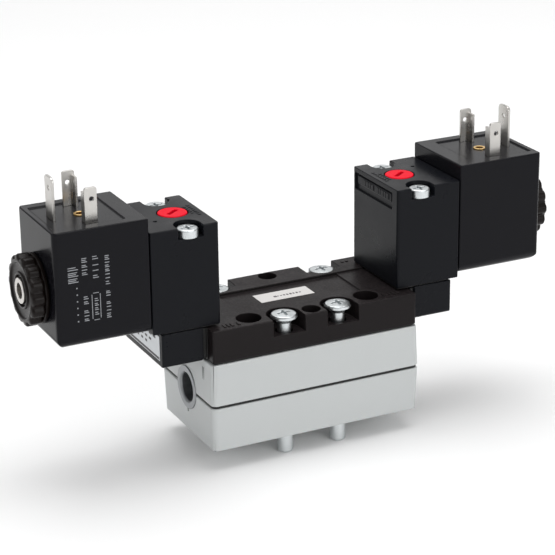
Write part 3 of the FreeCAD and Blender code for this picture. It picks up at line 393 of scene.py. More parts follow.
def softened(node: str, name: str, width: float, segments: int = 2, angle: float = 40.0,
             chosen: Callable[[Vector], bool] = lambda middle: True) -> bpy.types.Object:
    """Copy a frame node's mesh and round its edges.

    Args:
        node: Name of the frame node.
        name: Name of the new piece.
        width: Width of the rounding.
        segments: Facets across it.
        angle: Edges sharper than this many degrees are rounded.
        chosen: Says from an edge's middle whether it may be rounded.

    Returns:
        The finished piece, with no modifiers left.
    """
    shape = bmesh.new()
    shape.from_mesh(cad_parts[node].data)
    bmesh.ops.remove_doubles(shape, verts=shape.verts, dist=WELD)
    bmesh.ops.dissolve_degenerate(shape, edges=shape.edges, dist=WELD)
    bmesh.ops.dissolve_limit(shape, angle_limit=math.radians(0.5), verts=shape.verts, edges=shape.edges)
    weight = shape.edges.layers.float.new("bevel_weight_edge")
    for edge in shape.edges:
        middle = (edge.verts[0].co + edge.verts[1].co) / 2
        sharp = edge.calc_face_angle(0.0) > math.radians(angle)
        edge[weight] = 1.0 if sharp and chosen(middle) else 0.0
        edge.smooth = not sharp or edge[weight] > 0
    mesh = bpy.data.meshes.new(name)
    shape.to_mesh(mesh)
    shape.free()
    for face in mesh.polygons:
        face.use_smooth = True
    piece = link(name, mesh)
    bevel = piece.modifiers.new("edges", "BEVEL")
    bevel.width = width
    bevel.segments = segments
    bevel.limit_method = "WEIGHT"
    bevel.use_clamp_overlap = False
    bevel.loop_slide = False
    bevel.miter_outer = "MITER_ARC"
    bevel.harden_normals = False
    weighted = piece.modifiers.new("normals", "WEIGHTED_NORMAL")
    weighted.keep_sharp = True
    weighted.weight = 80
    return plain(piece)


def lathe(name: str, outline: Sequence[Range], steps: int = 96) -> bpy.types.Object:
    """Turn a closed outline of (distance along X, radius) points round the X axis.

    Args:
        name: Name of the piece.
        outline: Points in order; a point of radius 0 becomes a pole.
        steps: Facets round the axis.

    Returns:
        The piece, about the X axis.
    """
    shape = bmesh.new()
    points = [shape.verts.new((along, 0.0, radius)) for along, radius in outline]
    edges = [shape.edges.new((points[i - 1], points[i])) for i in range(len(points))]
    bmesh.ops.spin(shape, geom=points + edges, cent=(0, 0, 0), axis=(1, 0, 0), angle=math.tau, steps=steps,
                   use_merge=True)
    return from_bmesh(name, shape)


def add_box(shape: bmesh.types.BMesh, low: Vector, high: Vector) -> None:
    """Add a closed box between two corners."""
    size = Vector(high) - Vector(low)
    middle = (Vector(high) + Vector(low)) / 2
    bmesh.ops.create_cube(shape, size=1.0, matrix=Matrix.Translation(middle) @ Matrix.Diagonal((*size, 1.0)))


def boxes(name: str, spans: Iterable[tuple[Sequence[float], Sequence[float]]]) -> bpy.types.Object:
    """One piece from several closed boxes given by their corners."""
    shape = bmesh.new()
    for low, high in spans:
        add_box(shape, Vector(low), Vector(high))
    return from_bmesh(name, shape)


def move(piece: bpy.types.Object, matrix: Matrix) -> bpy.types.Object:
    """Move a piece's mesh and leave its object at the origin."""
    piece.data.transform(matrix)
    return piece


def bridged(piece: bpy.types.Object) -> bpy.types.Object:
    """Join a tube's two open ends by an inner wall, which makes it a closed shell.

    Args:
        piece: Tube with one open rim at each end.

    Returns:
        The same piece.
    """
    shape = bmesh.new()
    shape.from_mesh(piece.data)
    bmesh.ops.remove_doubles(shape, verts=shape.verts, dist=WELD)
    rims = [edge for edge in shape.edges if edge.is_boundary]
    for edge in rims:
        edge.smooth = False
    bmesh.ops.bridge_loops(shape, edges=rims)
    bmesh.ops.recalc_face_normals(shape, faces=shape.faces)
    shape.to_mesh(piece.data)
    shape.free()
    return piece


def dress(piece: bpy.types.Object, finish: Finish, body: str, *nodes: str) -> bpy.types.Object:
    """Give a piece its finish, let it ride on a body and stand for frame nodes.

    Args:
        piece: The piece, with no modifiers left.
        finish: Its finish.
        body: Frame body that it moves with.
        nodes: Frame nodes that it stands for.

    Returns:
        The same piece.
    """
    piece.data.materials.clear()
    piece.data.materials.append(finish.material())
    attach(piece, body)
    if nodes:
        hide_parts(*nodes)
    LOG.info("%s on %s: %d faces", piece.name, body, len(piece.data.polygons))
    return piece


# ---- geometry nodes for what repeats --------------------------------------------------------
def recoat(node: str, name: str, width: float, segments: int, finish: Finish, body: str = "valve") -> None:
    """Round the edges of a frame node's mesh and let the new piece stand in for the node."""
    dress(softened(node, name, width, segments), finish, body, node)


def tree_output(tree: bpy.types.NodeTree, out: bpy.types.Node, mesh: bpy.types.NodeSocket,
                material: bpy.types.NodeSocket) -> None:
    """End a geometry tree: realize what it instanced and set its material."""
    real = add_node(tree, "GeometryNodeRealizeInstances", {"Geometry": mesh})
    coated = add_node(tree, "GeometryNodeSetMaterial", {"Geometry": real.outputs[0], "Material": material})
    tree.links.new(coated.outputs[0], out.inputs["Geometry"])


def build_helix_tree() -> bpy.types.NodeTree:
    """Round or cornered bar wound along Z: springs, screw threads and coil windings."""
    tree, given, out = new_group("helix", "GeometryNodeTree", (
        ("Geometry", "OUTPUT", "NodeSocketGeometry", None), ("Turns", "INPUT", "NodeSocketFloat", 5.0),
        ("Radius", "INPUT", "NodeSocketFloat", 0.002), ("Height", "INPUT", "NodeSocketFloat", 0.01),
        ("Bar Radius", "INPUT", "NodeSocketFloat", 0.0003), ("Bar Sides", "INPUT", "NodeSocketInt", 8),
        ("Steps", "INPUT", "NodeSocketInt", 24), ("Material", "INPUT", "NodeSocketMaterial", None)))
    spiral = add_node(tree, "GeometryNodeCurveSpiral", {
        "Resolution": given.outputs["Steps"], "Rotations": given.outputs["Turns"],
        "Start Radius": given.outputs["Radius"], "End Radius": given.outputs["Radius"],
        "Height": given.outputs["Height"]})
    section = add_node(tree, "GeometryNodeCurvePrimitiveCircle", {
        "Resolution": given.outputs["Bar Sides"], "Radius": given.outputs["Bar Radius"]})
    swept = add_node(tree, "GeometryNodeCurveToMesh", {
        "Curve": spiral.outputs[0], "Profile Curve": section.outputs[0], "Fill Caps": True})
    tree_output(tree, out, swept.outputs[0], given.outputs["Material"])
    return tree


def build_row_tree() -> bpy.types.NodeTree:
    """Equal blocks set out in a straight row: dots, ticks and grooves."""
    tree, given, out = new_group("row", "GeometryNodeTree", (
        ("Geometry", "OUTPUT", "NodeSocketGeometry", None), ("Count", "INPUT", "NodeSocketInt", 6),
        ("Start", "INPUT", "NodeSocketVector", None), ("Step", "INPUT", "NodeSocketVector", None),
        ("Size", "INPUT", "NodeSocketVector", None), ("Material", "INPUT", "NodeSocketMaterial", None)))
    line = add_node(tree, "GeometryNodeMeshLine", {
        "Count": given.outputs["Count"], "Start Location": given.outputs["Start"],
        "Offset": given.outputs["Step"]})
    block = add_node(tree, "GeometryNodeMeshCube", {"Size": given.outputs["Size"]})
    laid = add_node(tree, "GeometryNodeInstanceOnPoints",
                    {"Points": line.outputs[0], "Instance": block.outputs[0]})
    tree_output(tree, out, laid.outputs[0], given.outputs["Material"])
    return tree


def build_grip_tree() -> bpy.types.NodeTree:
    """Fluted grip of a hand nut along X: a lobed section swept along the axis with rounded ends."""
    tree, given, out = new_group("grip", "GeometryNodeTree", (
        ("Geometry", "OUTPUT", "NodeSocketGeometry", None), ("Lobes", "INPUT", "NodeSocketInt", 14),
        ("Radius", "INPUT", "NodeSocketFloat", 0.011), ("Flute Depth", "INPUT", "NodeSocketFloat", 0.001),
        ("Start", "INPUT", "NodeSocketFloat", 0.0), ("End", "INPUT", "NodeSocketFloat", 0.004),
        ("Material", "INPUT", "NodeSocketMaterial", None)))
    points = math_node(tree, "MULTIPLY", given.outputs["Lobes"], 18)
    ring = add_node(tree, "GeometryNodeCurvePrimitiveCircle", {"Resolution": points, "Radius": 1.0})
    where = tree.nodes.new("GeometryNodeInputPosition")
    axes = add_node(tree, "ShaderNodeSeparateXYZ", {0: where.outputs[0]})
    angle = math_node(tree, "ARCTAN2", axes.outputs["Y"], axes.outputs["X"])
    wave = math_node(tree, "COSINE", math_node(tree, "MULTIPLY", angle, given.outputs["Lobes"]))
    dip = math_node(tree, "POWER", math_node(tree, "MULTIPLY_ADD", wave, -0.5, 0.5), 1.6)
    share = math_node(tree, "DIVIDE", given.outputs["Flute Depth"], given.outputs["Radius"])
    factor = math_node(tree, "SUBTRACT", 1.0, math_node(tree, "MULTIPLY", dip, share))
    radius = math_node(tree, "MULTIPLY", factor, given.outputs["Radius"])
    lobed = add_node(tree, "ShaderNodeVectorMath", {0: where.outputs[0], "Scale": radius}, operation="SCALE")
    section = add_node(tree, "GeometryNodeSetPosition",
                       {"Geometry": ring.outputs[0], "Position": lobed.outputs[0]})
    first = add_node(tree, "ShaderNodeCombineXYZ", {"X": given.outputs["Start"]})
    last = add_node(tree, "ShaderNodeCombineXYZ", {"X": given.outputs["End"]})
    axis = add_node(tree, "GeometryNodeCurvePrimitiveLine",
                    {"Start": first.outputs[0], "End": last.outputs[0]})
    rail = add_node(tree, "GeometryNodeResampleCurve", {"Curve": axis.outputs[0], "Count": 28})
    along = tree.nodes.new("GeometryNodeSplineParameter")
    swell = add_node(tree, "ShaderNodeFloatCurve", {"Value": along.outputs["Factor"]})
    curve = swell.mapping.curves[0]
    for at, size in ((0.07, 0.985), (0.16, 1.0), (0.78, 1.0), (0.90, 0.975), (0.97, 0.93)):
        curve.points.new(at, size)
    curve.points[0].location = (0.0, 0.93)
    curve.points[len(curve.points) - 1].location = (1.0, 0.86)
    swell.mapping.update()
    swept = add_node(tree, "GeometryNodeCurveToMesh", {
        "Curve": rail.outputs[0], "Profile Curve": section.outputs[0], "Scale": swell.outputs[0]})
    tree_output(tree, out, swept.outputs[0], given.outputs["Material"])
    return tree


class Tree(Enum):
    """The geometry trees that pieces are grown from."""

    HELIX = "helix"
    ROW = "row"
    GRIP = "grip"


TREE_BUILDERS: dict[Tree, Callable[[], bpy.types.NodeTree]] = {
    Tree.HELIX: build_helix_tree, Tree.ROW: build_row_tree, Tree.GRIP: build_grip_tree}
TREES = {kind: build() for kind, build in TREE_BUILDERS.items()}


def grow(name: str, kind: Tree, finish: Finish, **inputs) -> bpy.types.Object:
    """Grow a piece from a geometry tree and make it a plain mesh.

    Args:
        name: Name of the piece.
        kind: Which tree.
        finish: Finish set by the tree.
        inputs: Value of each named input, with underscores for spaces.

    Returns:
        The finished piece at the origin.
    """
    piece = link(name, bpy.data.meshes.new(name))
    modifier = piece.modifiers.new(kind.value, "NODES")
    modifier.node_group = TREES[kind]
    sockets = TREES[kind].interface.items_tree
    known = {item.name: item.identifier for item in sockets if item.in_out == "INPUT"}
    for key, value in inputs.items():
        modifier[known[key.replace("_", " ")]] = value
    modifier[known["Material"]] = finish.material()
    plain(piece)
    piece.data.shade_smooth()
    piece.data.set_sharp_from_angle(angle=math.radians(50))
    return piece


# ---- sub-assemblies -------------------------------------------------------------------------
@dataclass(frozen=True)
class OuterEdges:
    """Picks the edges on the outside of a block, leaving out a round mouth in each end."""

    low: Vector
    high: Vector
    skin: float
    mouth: float
    mouth_z: float

    def __call__(self, middle: Vector) -> bool:
        """Whether an edge with this middle is an outer one."""
        end = min(middle.x - self.low.x, self.high.x - middle.x) < self.skin
        side = min(middle.y - self.low.y, self.high.y - middle.y) < self.skin
        return side or (end and math.hypot(middle.y, middle.z - self.mouth_z) > self.mouth)


@dataclass
class PortedBase:
    """Two painted half blocks, the gasket between them and the keyed port bushes."""

    edge: float = 0.5 * MM
    skin: float = 0.9 * MM
    mouth: float = 8.9 * MM
    groove_depth: float = 0.02 * MM
    groove_width: float = 0.25 * MM
    groove_y: tuple[float, ...] = (-12.9 * MM, -12.0 * MM)
    groove_z: Range = (21.0 * MM, 26.5 * MM)

    def build(self) -> None:
        """Build and dress the base."""
        bush_low, bush_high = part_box("left_port_bush")
        for node in ("base_lower", "base_upper"):
            low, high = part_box(node)
            outer = OuterEdges(low, high, self.skin, self.mouth, (bush_low.z + bush_high.z) / 2)
            dress(softened(node, f"painted_{node}", self.edge, 3, chosen=outer), BASE_PAINT, "valve", node)
        for node in ("seam_gasket", "interface_seal"):
            recoat(node, f"cut_{node}", 0.12 * MM, 1, RUBBER)
        for side in Side:
            recoat(f"{side.label}_port_bush", f"{side.label}_keyed_bush", 0.25 * MM, 2, BUSH_METAL)
        self.grooves()

    def grooves(self) -> None:
        """Fine vertical grooves on the upper half's left end face."""
        low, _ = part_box("base_upper")
        middle = sum(self.groove_z) / 2
        step = self.groove_y[1] - self.groove_y[0]
        piece = grow("end_face_grooves", Tree.ROW, GROOVE_SHADE, Count=len(self.groove_y),
                     Start=(low.x + 0.25 * MM, self.groove_y[0], middle), Step=(0.0, step, 0.0),
                     Size=(2 * self.groove_depth, self.groove_width, self.groove_z[1] - self.groove_z[0]))
        dress(piece, GROOVE_SHADE, "valve")


@dataclass
class ValveBody:
    """Die-cast body with its rating label and cast marks; the spool inside keeps its frame mesh."""

    edge: float = 0.22 * MM
    mark_height: float = 0.22 * MM
    mark_half: Range = (0.35 * MM, 1.1 * MM)
    mark_root: float = 0.05 * MM
    front_top: float = 39.9 * MM
    front_marks_y: float = -15.6 * MM
    mark_x: tuple[float, ...] = (-30.2, -28.9, -27.6, -25.4)
    rear_top: float = 40.4 * MM
    rear_mark_x: tuple[float, ...] = (27.0, 28.6)
    rear_mark_y: Range = (15.8 * MM, 16.6 * MM)
    rear_mark_width: float = 0.9
    bar_pitch: float = 1.12 * MM
    bar_sizes: tuple[Range, ...] = ((1.0, 1.1), (0.7, 0.5), (0.7, 0.5), (0.6, 0.9), (0.6, 1.1), (0.7, 1.1),
                                    (0.6, 0.9), (0.6, 1.1), (0.6, 0.7))

    def build(self) -> None:
        """Build and dress the body and what it carries."""
        recoat("valve_body", "cast_body", self.edge, 2, BODY_COATING)
        self.label()
        self.cast_marks()

    def label(self) -> None:
        """White film label with generic printed bars."""
        low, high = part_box("rating_label")
        recoat("rating_label", "film_label", 0.05 * MM, 1, WHITE_LABEL)
        middle = low.y + 0.42 * (high.y - low.y)
        start = low.x + 0.30 * (high.x - low.x)
        spans = []
        for i, (wide, tall) in enumerate(self.bar_sizes):
            x = start + i * self.bar_pitch
            spans.append(((x, middle - tall * MM / 2, high.z - 0.01 * MM),
                          (x + wide * MM, middle + tall * MM / 2, high.z + 0.015 * MM)))
        dress(boxes("label_bars", spans), LABEL_INK, "valve")

    def cast_marks(self) -> None:
        """Short raised bars by the front corners and the right rear corner."""
        half_x, half_y = self.mark_half
        near, far = self.front_marks_y - half_y, self.front_marks_y + half_y
        spans = []
        for sign in (-1, 1):
            for x in self.mark_x:
                middle = sign * x * MM
                spans.append(((middle - half_x, near, self.front_top - self.mark_root),
                              (middle + half_x, far, self.front_top + self.mark_height)))
        for x in self.rear_mark_x:
            spans.append(((x * MM, self.rear_mark_y[0], self.rear_top - self.mark_root),
                          ((x + self.rear_mark_width) * MM, self.rear_mark_y[1],
                           self.rear_top + self.mark_height)))
        dress(boxes("cast_marks", spans), BODY_COATING, "valve")


@dataclass
class MountingScrews:
    """Captive screws with rolled threads at their tips."""

    radius: float = 2.5 * MM
    pitch: float = 0.8 * MM
    head: float = 4.25 * MM
    front_x: float = 9.4 * MM
    point: float = 0.6 * MM
    thread_top: float = -0.15 * MM
    rib: float = 0.15 * MM
    rib_sink: float = 0.13 * MM

    def build(self) -> None:
        """Build and dress the four screws."""
        recoat("mounting_screws", "captive_screws", 0.12 * MM, 2, ZINC)
        low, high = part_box("mounting_screws")
        start = low.z + self.point
        length = self.thread_top - start
        corners = ((self.front_x, low.y + self.head), (high.x - self.head, high.y - self.head))
        places = [(sign * x, y) for x, y in corners for sign in (-1, 1)]
        for i, (x, y) in enumerate(places):
            thread = grow(f"screw_thread_{i + 1}", Tree.HELIX, ZINC, Turns=length / self.pitch,
                          Radius=self.radius - self.rib_sink, Height=length, Bar_Radius=self.rib,
                          Bar_Sides=4, Steps=28)
            dress(move(thread, Matrix.Translation((x, y, start))), ZINC, "valve")


@dataclass
class EndCap:
    """Cap that closes one end of the spool bore."""

    side: Side
    edge: float = 0.3 * MM
    border: float = 0.3 * MM
    border_top: float = 1.1 * MM
    bar_rows: tuple[float, ...] = (6.4, 4.6, 2.9)
    bar_height: float = 0.75
    bar_pitch: float = 3.1

    def build(self) -> None:
        """Build and dress the cap, its gasket and screws, and the left label."""
        at = self.side.label
        for part, name, width, segments, finish in (
                ("end_cap", "moulded_cap", self.edge, 2, HOUSING_PLASTIC),
                ("end_cap_gasket", "cap_seal", 0.1 * MM, 1, RUBBER),
                ("pilot_gasket", "pilot_seal", 0.08 * MM, 1, RUBBER),
                ("end_cap_screws", "cap_bolts", 0.15 * MM, 2, ZINC)):
            recoat(f"{at}_{part}", f"{at}_{name}", width, segments, finish)
        if self.side is Side.LEFT:
            self.label()

    def label(self) -> None:
        """Silver label with a dark lower border and generic bars."""
        low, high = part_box("end_label")
        recoat("end_label", "foil_label", 0.04 * MM, 1, METAL_LABEL)
        out = (low.x - 0.015 * MM, low.x + 0.02 * MM)
        spans = [((out[0], low.y + self.border, low.z + self.border),
                  (out[1], high.y - self.border, low.z + self.border_top))]
        for row, level in enumerate(self.bar_rows):
            for column in range(7 - row):
                y = high.y - (2.0 + self.bar_pitch * column) * MM
                spans.append(((out[0], y - (2.1 - 0.3 * row) * MM, low.z + level * MM),
                              (out[1], y, low.z + (level + self.bar_height) * MM)))
        dress(boxes("foil_bars", spans), LABEL_INK, "valve")


@dataclass
class PilotHousing:
    """Tall pilot block with its screws, name plate, moulded marks and override."""

    side: Side
    edge: float = 0.25 * MM
    mark: float = 0.12 * MM
    tick_rows: Range = (32.4, 33.9)
    tick_start: float = -4.2
    tick_pitch: float = 1.5
    tick_size: Range = (0.95, 0.8)
    plate_face: float = 31.05 * MM
    block_start: float = -8.6
    block_widths: tuple[float, ...] = (1.6, 1.2, 1.6, 0.9, 1.6, 0.0, 1.8, 1.0, 1.5, 1.5)
    block_gap: float = 0.35
    word_gap: float = 1.3
    block_z: Range = (68.9 * MM, 70.7 * MM)
    slot_half: Range = (2.4 * MM, 0.55 * MM)
    slot_floor: Range = (0.92 * MM, 0.84 * MM)
    slot_angle: float = 37.0

    def build(self) -> None:
        """Build and dress the housing and its small parts."""
        at = self.side.label
        recoat(f"{at}_pilot_housing", f"{at}_moulded_housing", self.edge, 2, HOUSING_PLASTIC)
        recoat(f"{at}_pilot_screws", f"{at}_cross_screws", 0.1 * MM, 2, ZINC)
        self.top_marks()
        self.plate_marks()
        self.override()

    def top_marks(self) -> None:
        """Two short rows of moulded ticks along the inner top edge."""
        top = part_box(f"{self.side.label}_pilot_housing")[1].z
        spans = []
        long, wide = self.tick_size
        for row, x in enumerate(self.tick_rows):
            for i in range(7 - 2 * row):
                y = (self.tick_start + self.tick_pitch * i + row) * MM
                spans.append(((x * MM, y, top - 0.03 * MM),
                              ((x + long) * MM, y + wide * MM, top + self.mark)))
        piece = move(boxes(f"{self.side.label}_top_ticks", spans), self.side.turn)
        dress(piece, HOUSING_PLASTIC, "valve")

    def plate_marks(self) -> None:
        """Generic raised blocks on the plate in the inner face."""
        spans = []
        y = self.block_start
        for wide in self.block_widths:
            if wide:
                spans.append(((self.plate_face - 1.6 * self.mark, y * MM, self.block_z[0]),
                              (self.plate_face + 0.05 * MM, (y + wide) * MM, self.block_z[1])))
            y += wide + (self.block_gap if wide else self.word_gap)
        piece = move(boxes(f"{self.side.label}_plate_blocks", spans), self.side.turn)
        dress(piece, HOUSING_PLASTIC, "valve")

    def override(self) -> None:
        """Red button with a dark slot floor, and the spring under it."""
        at = self.side.label
        node = f"{at}_override_cap"
        recoat(node, f"{at}_red_button", 0.12 * MM, 2, RED_PLASTIC, f"{at}_override_turn")
        low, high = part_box(node)
        half_x, half_y = self.slot_half
        deep, shallow = self.slot_floor
        floor = boxes(f"{at}_slot_floor", [((-half_x, -half_y, high.z - deep),
                                            (half_x, half_y, high.z - shallow))])
        place = Matrix.Translation(((low.x + high.x) / 2, 0, 0)) @ self.side.turn
        move(floor, place @ Matrix.Rotation(math.radians(self.slot_angle), 4, "Z"))
        dress(floor, SLOT_RED, f"{at}_override_turn")
        spring = grow(f"{at}_button_spring", Tree.HELIX, STAINLESS, Turns=4.5, Radius=3.0 * MM,
                      Height=3.8 * MM, Bar_Radius=0.25 * MM, Bar_Sides=10, Steps=32)
        move(spring, Matrix.Translation(((low.x + high.x) / 2, 0, 64.27 * MM)))
        dress(spring, STAINLESS, "valve", f"{at}_override_spring")
        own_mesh(spring)


@dataclass
class Coil:
    """Encapsulated coil with its blades, printed marks and winding."""

    side: Side
    edge: float = 0.35 * MM
    ink: float = 0.02 * MM
    stroke: float = 0.26
    stroke_pitch: float = 0.62
    stroke_insets: tuple[float, ...] = (0.0, 0.22, 0.1)
    rule: float = 0.2
    rule_x: Range = (-72.5, -69.9)
    rule_z: Range = (49.5, 58.0)
    rule_rise: Range = (50.0 * MM, 57.7 * MM)
    rule_run: Range = (-72.0 * MM, -70.2 * MM)
    wire: float = 0.2 * MM
    rows: tuple = field(default_factory=lambda: (
        (-79.6, -76.4, ((62.2, 63.8), (64.1, 65.7), (66.0, 67.4))),
        (-75.0, -73.5, ((49.6, 50.6), (50.9, 51.8), (52.1, 53.2), (54.9, 56.1), (56.4, 57.7))),
        (-75.2, -73.5, ((64.1, 65.2), (65.6, 66.0), (66.5, 67.5), (68.0, 69.7))),
        (-71.6, -70.4, ((51.0, 52.2), (52.5, 53.6), (53.9, 55.0), (55.3, 56.6))),
        (-71.8, -70.0, ((62.6, 63.9), (64.9, 65.4), (66.6, 67.1), (68.4, 69.9))),
        (-67.9, -66.5, ((49.4, 51.2), (51.5, 52.4), (52.7, 53.5), (53.8, 54.8), (56.4, 56.9), (57.2, 58.2),
                        (59.9, 61.4), (61.7, 62.6), (62.9, 63.8), (64.1, 65.1), (65.4, 66.4), (66.7, 67.4),
                        (67.7, 69.4)))))

    def build(self) -> None:
        """Build and dress the coil."""
        at = self.side.label
        for part, name, width, segments, finish in (
                ("coil_case", "resin_block", self.edge, 3, COIL_PLASTIC),
                ("power_blades", "contact_blades", 0.14 * MM, 2, NICKEL),
                ("earth_blade", "ground_blade", 0.14 * MM, 2, NICKEL),
                ("terminal_insert", "threaded_insert", 0.12 * MM, 2, BRASS)):
            recoat(f"{at}_{part}", f"{at}_{name}", width, segments, finish, f"{at}_coil")
        self.printing()
        self.winding()

    def printing(self) -> None:
        """Rows of generic printed blocks and dots on the face, read from the side."""
        at = self.side.label
        face = -14.9 * MM
        depth = (face - self.ink, face + 0.02 * MM)
        spans = []
        for low_x, high_x, blocks in self.rows:
            for low_z, high_z in blocks:
                spans += self.ticks(low_x, high_x, low_z, high_z, depth)
        for edge in self.rule_x:
            spans.append(((edge * MM, depth[0], self.rule_rise[0]),
                          ((edge + self.rule) * MM, depth[1], self.rule_rise[1])))
        for edge in self.rule_z:
            spans.append(((self.rule_run[0], depth[0], edge * MM),
                          (self.rule_run[1], depth[1], (edge + self.rule) * MM)))
        back = Side.LEFT.turn @ self.side.turn
        dress(move(boxes(f"{at}_printed_rows", spans), back), PRINT_INK, f"{at}_coil")
        dots = grow(f"{at}_printed_dots", Tree.ROW, PRINT_INK, Count=6, Start=(-77.0 * MM, face, 50.0 * MM),
                    Step=(0.0, 0.0, 2.1 * MM), Size=(0.4 * MM, 2 * self.ink, 0.4 * MM))
        dress(move(dots, back), PRINT_INK, f"{at}_coil")

    def ticks(self, low_x: float, high_x: float, low_z: float, high_z: float, depth: Range) -> list:
        """Spans of the thin parallel strokes that fill one printed block.

        Args:
            low_x: Block's inner end along X, in millimetres.
            high_x: Its other end.
            low_z: Its bottom.
            high_z: Its top.
            depth: Front and back of the ink, in metres.

        Returns:
            Corner pairs for boxes().
        """
        count = max(1, round((high_z - low_z) / self.stroke_pitch))
        strokes = []
        for i in range(count):
            z = low_z + (i + 0.5) * (high_z - low_z) / count
            inset = (high_x - low_x) * self.stroke_insets[i % 3]
            strokes.append(((low_x * MM, depth[0], (z - self.stroke / 2) * MM),
                            ((high_x - inset) * MM, depth[1], (z + self.stroke / 2) * MM)))
        return strokes

    def winding(self) -> None:
        """Wire turns on the outside of the winding."""
        at = self.side.label
        low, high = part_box(f"{at}_coil_winding")
        radius = (high.z - low.z) / 2
        wire = self.wire
        length = high.x - low.x
        turns = grow(f"{at}_wire_turns", Tree.HELIX, COPPER, Turns=length / (2.1 * wire),
                     Radius=radius - wire, Height=length - 2 * wire, Bar_Radius=wire, Bar_Sides=6, Steps=40)
        upright = Matrix.Translation((low.x + wire, (low.y + high.y) / 2, (low.z + high.z) / 2))
        dress(move(turns, upright @ Matrix.Rotation(math.pi / 2, 4, "Y")), COPPER, f"{at}_coil")


@dataclass
class HandNut:
    """Fluted nut that holds the coil on its stem."""

    side: Side
    lobes: int = 14
    flute_depth: float = 1.0 * MM
    grip_radius: float = 11.1 * MM
    grip_ends: Range = (1.2 * MM, 0.08 * MM)
    spring_start: float = 64.3 * MM
    rear: tuple[Range, ...] = ((0.0, 4.05), (0.0, 10.5), (0.1, 10.8), (0.35, 10.9), (0.95, 10.9),
                               (1.15, 10.7), (1.25, 10.2), (1.45, 9.7))
    front: tuple[Range, ...] = ((0.8, 9.6), (0.4, 9.75), (0.15, 9.6), (0.02, 9.3), (0.0, 9.0), (0.1, 8.7),
                                (0.5, 8.45), (0.65, 8.2), (0.75, 6.2), (0.65, 5.8), (0.25, 5.6), (0.15, 5.4),
                                (0.15, 5.1), (0.3, 4.9), (0.9, 4.8), (0.95, 4.6), (0.95, 4.05))

    def build(self) -> None:
        """Build and dress the nut and its stem."""
        at = self.side.label
        node = f"{at}_coil_nut"
        low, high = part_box(node)
        axis = (low.z + high.z) / 2
        back, face = sorted((abs(low.x), abs(high.x)))
        place = self.side.turn @ Matrix.Translation((0, 0, axis))
        outline = [(back + behind * MM, radius * MM) for behind, radius in self.rear]
        outline += [(face - behind * MM, radius * MM) for behind, radius in self.front]
        hub = move(lathe(f"{at}_nut_hub", outline), place)
        dress(hub, NUT_PLASTIC, f"{at}_nut", node)
        grip = grow(f"{at}_nut_grip", Tree.GRIP, NUT_PLASTIC, Lobes=self.lobes, Radius=self.grip_radius,
                    Flute_Depth=self.flute_depth, Start=back + self.grip_ends[0],
                    End=face - self.grip_ends[1])
        dress(move(bridged(grip), place), NUT_PLASTIC, f"{at}_nut")
        stem = softened(f"{at}_armature_tube", f"{at}_guide_stem", 0.2 * MM, 2,
                        chosen=lambda middle: abs(middle.x) > back)
        dress(stem, STAINLESS, "valve", f"{at}_armature_tube")
        spring = grow(f"{at}_return_spring", Tree.HELIX, STAINLESS, Turns=7.0, Radius=1.8 * MM,
                      Height=7.2 * MM, Bar_Radius=0.25 * MM, Bar_Sides=10, Steps=28)
        lying = Matrix.Translation((self.spring_start, 0, axis)) @ Matrix.Rotation(math.pi / 2, 4, "Y")
        dress(move(spring, self.side.turn @ lying), STAINLESS, "valve", f"{at}_armature_spring")
        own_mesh(spring)


@dataclass
class InnerWorks:
    """Sealed inner pieces, which keep the frame's own meshes."""

    finishes: dict = field(default_factory=lambda: dict(INNER_FINISHES))

    def build(self) -> None:
        """Dress every node that still shows its own mesh."""
        for node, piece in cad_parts.items():
            bare = node.removeprefix("left_").removeprefix("right_")
            finish = self.finishes.get(bare, COPPER if bare == "coil_winding" else HOUSING_PLASTIC)
            piece.data.materials.clear()
            piece.data.materials.append(finish.material())


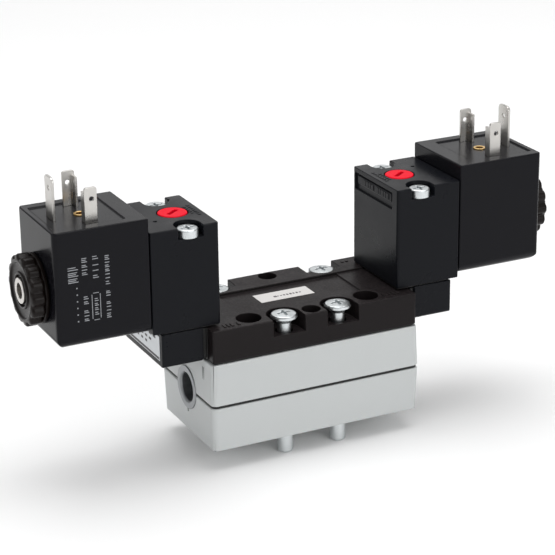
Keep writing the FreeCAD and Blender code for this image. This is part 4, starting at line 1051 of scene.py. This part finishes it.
@dataclass
class Studio:
    """Pale floor, soft lights and the camera."""

    floor_z: float = CAD_BOX[0][2]
    floor_size: float = 6.0
    camera_at: tuple[float, float, float] = (-0.2739, -0.5525, 0.2788)
    azimuth: float = -26.017
    elevation: float = 20.740
    roll: float = -0.721
    lens: float = 134.9
    sensor: float = 36.0

    def build(self) -> None:
        """Build the stage, the lights and the camera."""
        bpy.context.scene.view_settings.view_transform = "Standard"
        self.floor()
        self.world()
        self.lights()
        self.camera()

    def floor(self) -> None:
        """Plain pale floor."""
        half = self.floor_size / 2
        shape = bmesh.new()
        corners = [shape.verts.new((x, y, self.floor_z)) for x, y in
                   ((-half, -half), (half, -half), (half, half), (-half, half))]
        shape.faces.new(corners)
        mesh = bpy.data.meshes.new("floor")
        shape.to_mesh(mesh)
        shape.free()
        floor = link("floor", mesh)
        pale = bpy.data.materials.new("pale_floor")
        pale.use_nodes = True
        shader = pale.node_tree.nodes["Principled BSDF"]
        shader.inputs["Base Color"].default_value = (0.93, 0.93, 0.93, 1)
        shader.inputs["Roughness"].default_value = 0.9
        shader.inputs["Specular IOR Level"].default_value = 0.1
        mesh.materials.append(pale)

    def world(self) -> None:
        """Soft surround: brighter overhead, white where the camera sees it."""
        world = bpy.data.worlds.new("studio")
        bpy.context.scene.world = world
        world.use_nodes = True
        tree = world.node_tree
        tree.nodes.clear()
        way = tree.nodes.new("ShaderNodeTexCoord").outputs["Generated"]
        up = add_node(tree, "ShaderNodeSeparateXYZ", {0: way}).outputs["Z"]
        lift = add_node(tree, "ShaderNodeMapRange", {"Value": up, "From Min": 0.0, "From Max": 0.9,
                                                     "To Min": 0.34, "To Max": 0.62})
        around = add_node(tree, "ShaderNodeBackground", {"Color": (1, 1, 1, 1), "Strength": lift.outputs[0]})
        seen = add_node(tree, "ShaderNodeBackground", {"Color": (1, 1, 1, 1), "Strength": 1.05})
        ray = tree.nodes.new("ShaderNodeLightPath").outputs["Is Camera Ray"]
        mix = add_node(tree, "ShaderNodeMixShader", {0: ray, 1: around.outputs[0], 2: seen.outputs[0]})
        out = tree.nodes.new("ShaderNodeOutputWorld")
        tree.links.new(mix.outputs[0], out.inputs["Surface"])

    def area(self, name: str, at: Sequence[float], aim: Sequence[float], size: Range, power: float) -> None:
        """Add one rectangular soft light.

        Args:
            name: Name of the light.
            at: Its place.
            aim: Point that it faces.
            size: Width and height.
            power: Watts.
        """
        data = bpy.data.lights.new(name, "AREA")
        data.shape = "RECTANGLE"
        data.size, data.size_y = size
        data.energy = power
        light = bpy.data.objects.new(name, data)
        bpy.context.scene.collection.objects.link(light)
        light.location = at
        light.rotation_mode = "QUATERNION"
        light.rotation_quaternion = (Vector(aim) - Vector(at)).to_track_quat("-Z", "Y")

    def lights(self) -> None:
        """Overhead softbox, a low strip behind for sheen on the tops, and weak left and front ones."""
        centre = (0.0, 0.0, 0.04)
        self.area("left_softbox", (-1.0, 0.1, 0.5), centre, (0.7, 0.6), 1.05)
        self.area("rear_softbox", (0.6, 1.35, 0.58), centre, (1.7, 0.45), 1.5)
        self.area("top_softbox", (0.1, 0.1, 1.1), centre, (1.0, 0.8), 8.0)
        self.area("front_fill", (0.3, -1.1, 0.45), centre, (0.9, 0.6), 3.9)

    def camera(self) -> None:
        """Camera with its place, aim and lens."""
        data = bpy.data.cameras.new("camera")
        data.lens = self.lens
        data.sensor_width = self.sensor
        data.clip_start = 0.01
        camera = bpy.data.objects.new("camera", data)
        bpy.context.scene.collection.objects.link(camera)
        az = math.radians(self.azimuth)
        el = math.radians(self.elevation)
        back = Vector((math.sin(az) * math.cos(el), -math.cos(az) * math.cos(el), math.sin(el)))
        turn = (-back).to_track_quat("-Z", "Y").to_matrix().to_4x4()
        turn = turn @ Matrix.Rotation(math.radians(self.roll), 4, "Z")
        camera.matrix_world = Matrix.Translation(self.camera_at) @ turn
        bpy.context.scene.camera = camera


def main() -> None:
    """Build the sub-assemblies in order and report each one."""
    logging.basicConfig(level=logging.INFO, format="%(name)s: %(message)s")
    assemblies = [Studio(), InnerWorks(), PortedBase(), ValveBody(), MountingScrews()]
    for side in Side:
        assemblies += [EndCap(side), PilotHousing(side), Coil(side), HandNut(side)]
    for assembly in assemblies:
        LOG.info("building %s", type(assembly).__name__)
        assembly.build()


if __name__ == "__main__":
    main()
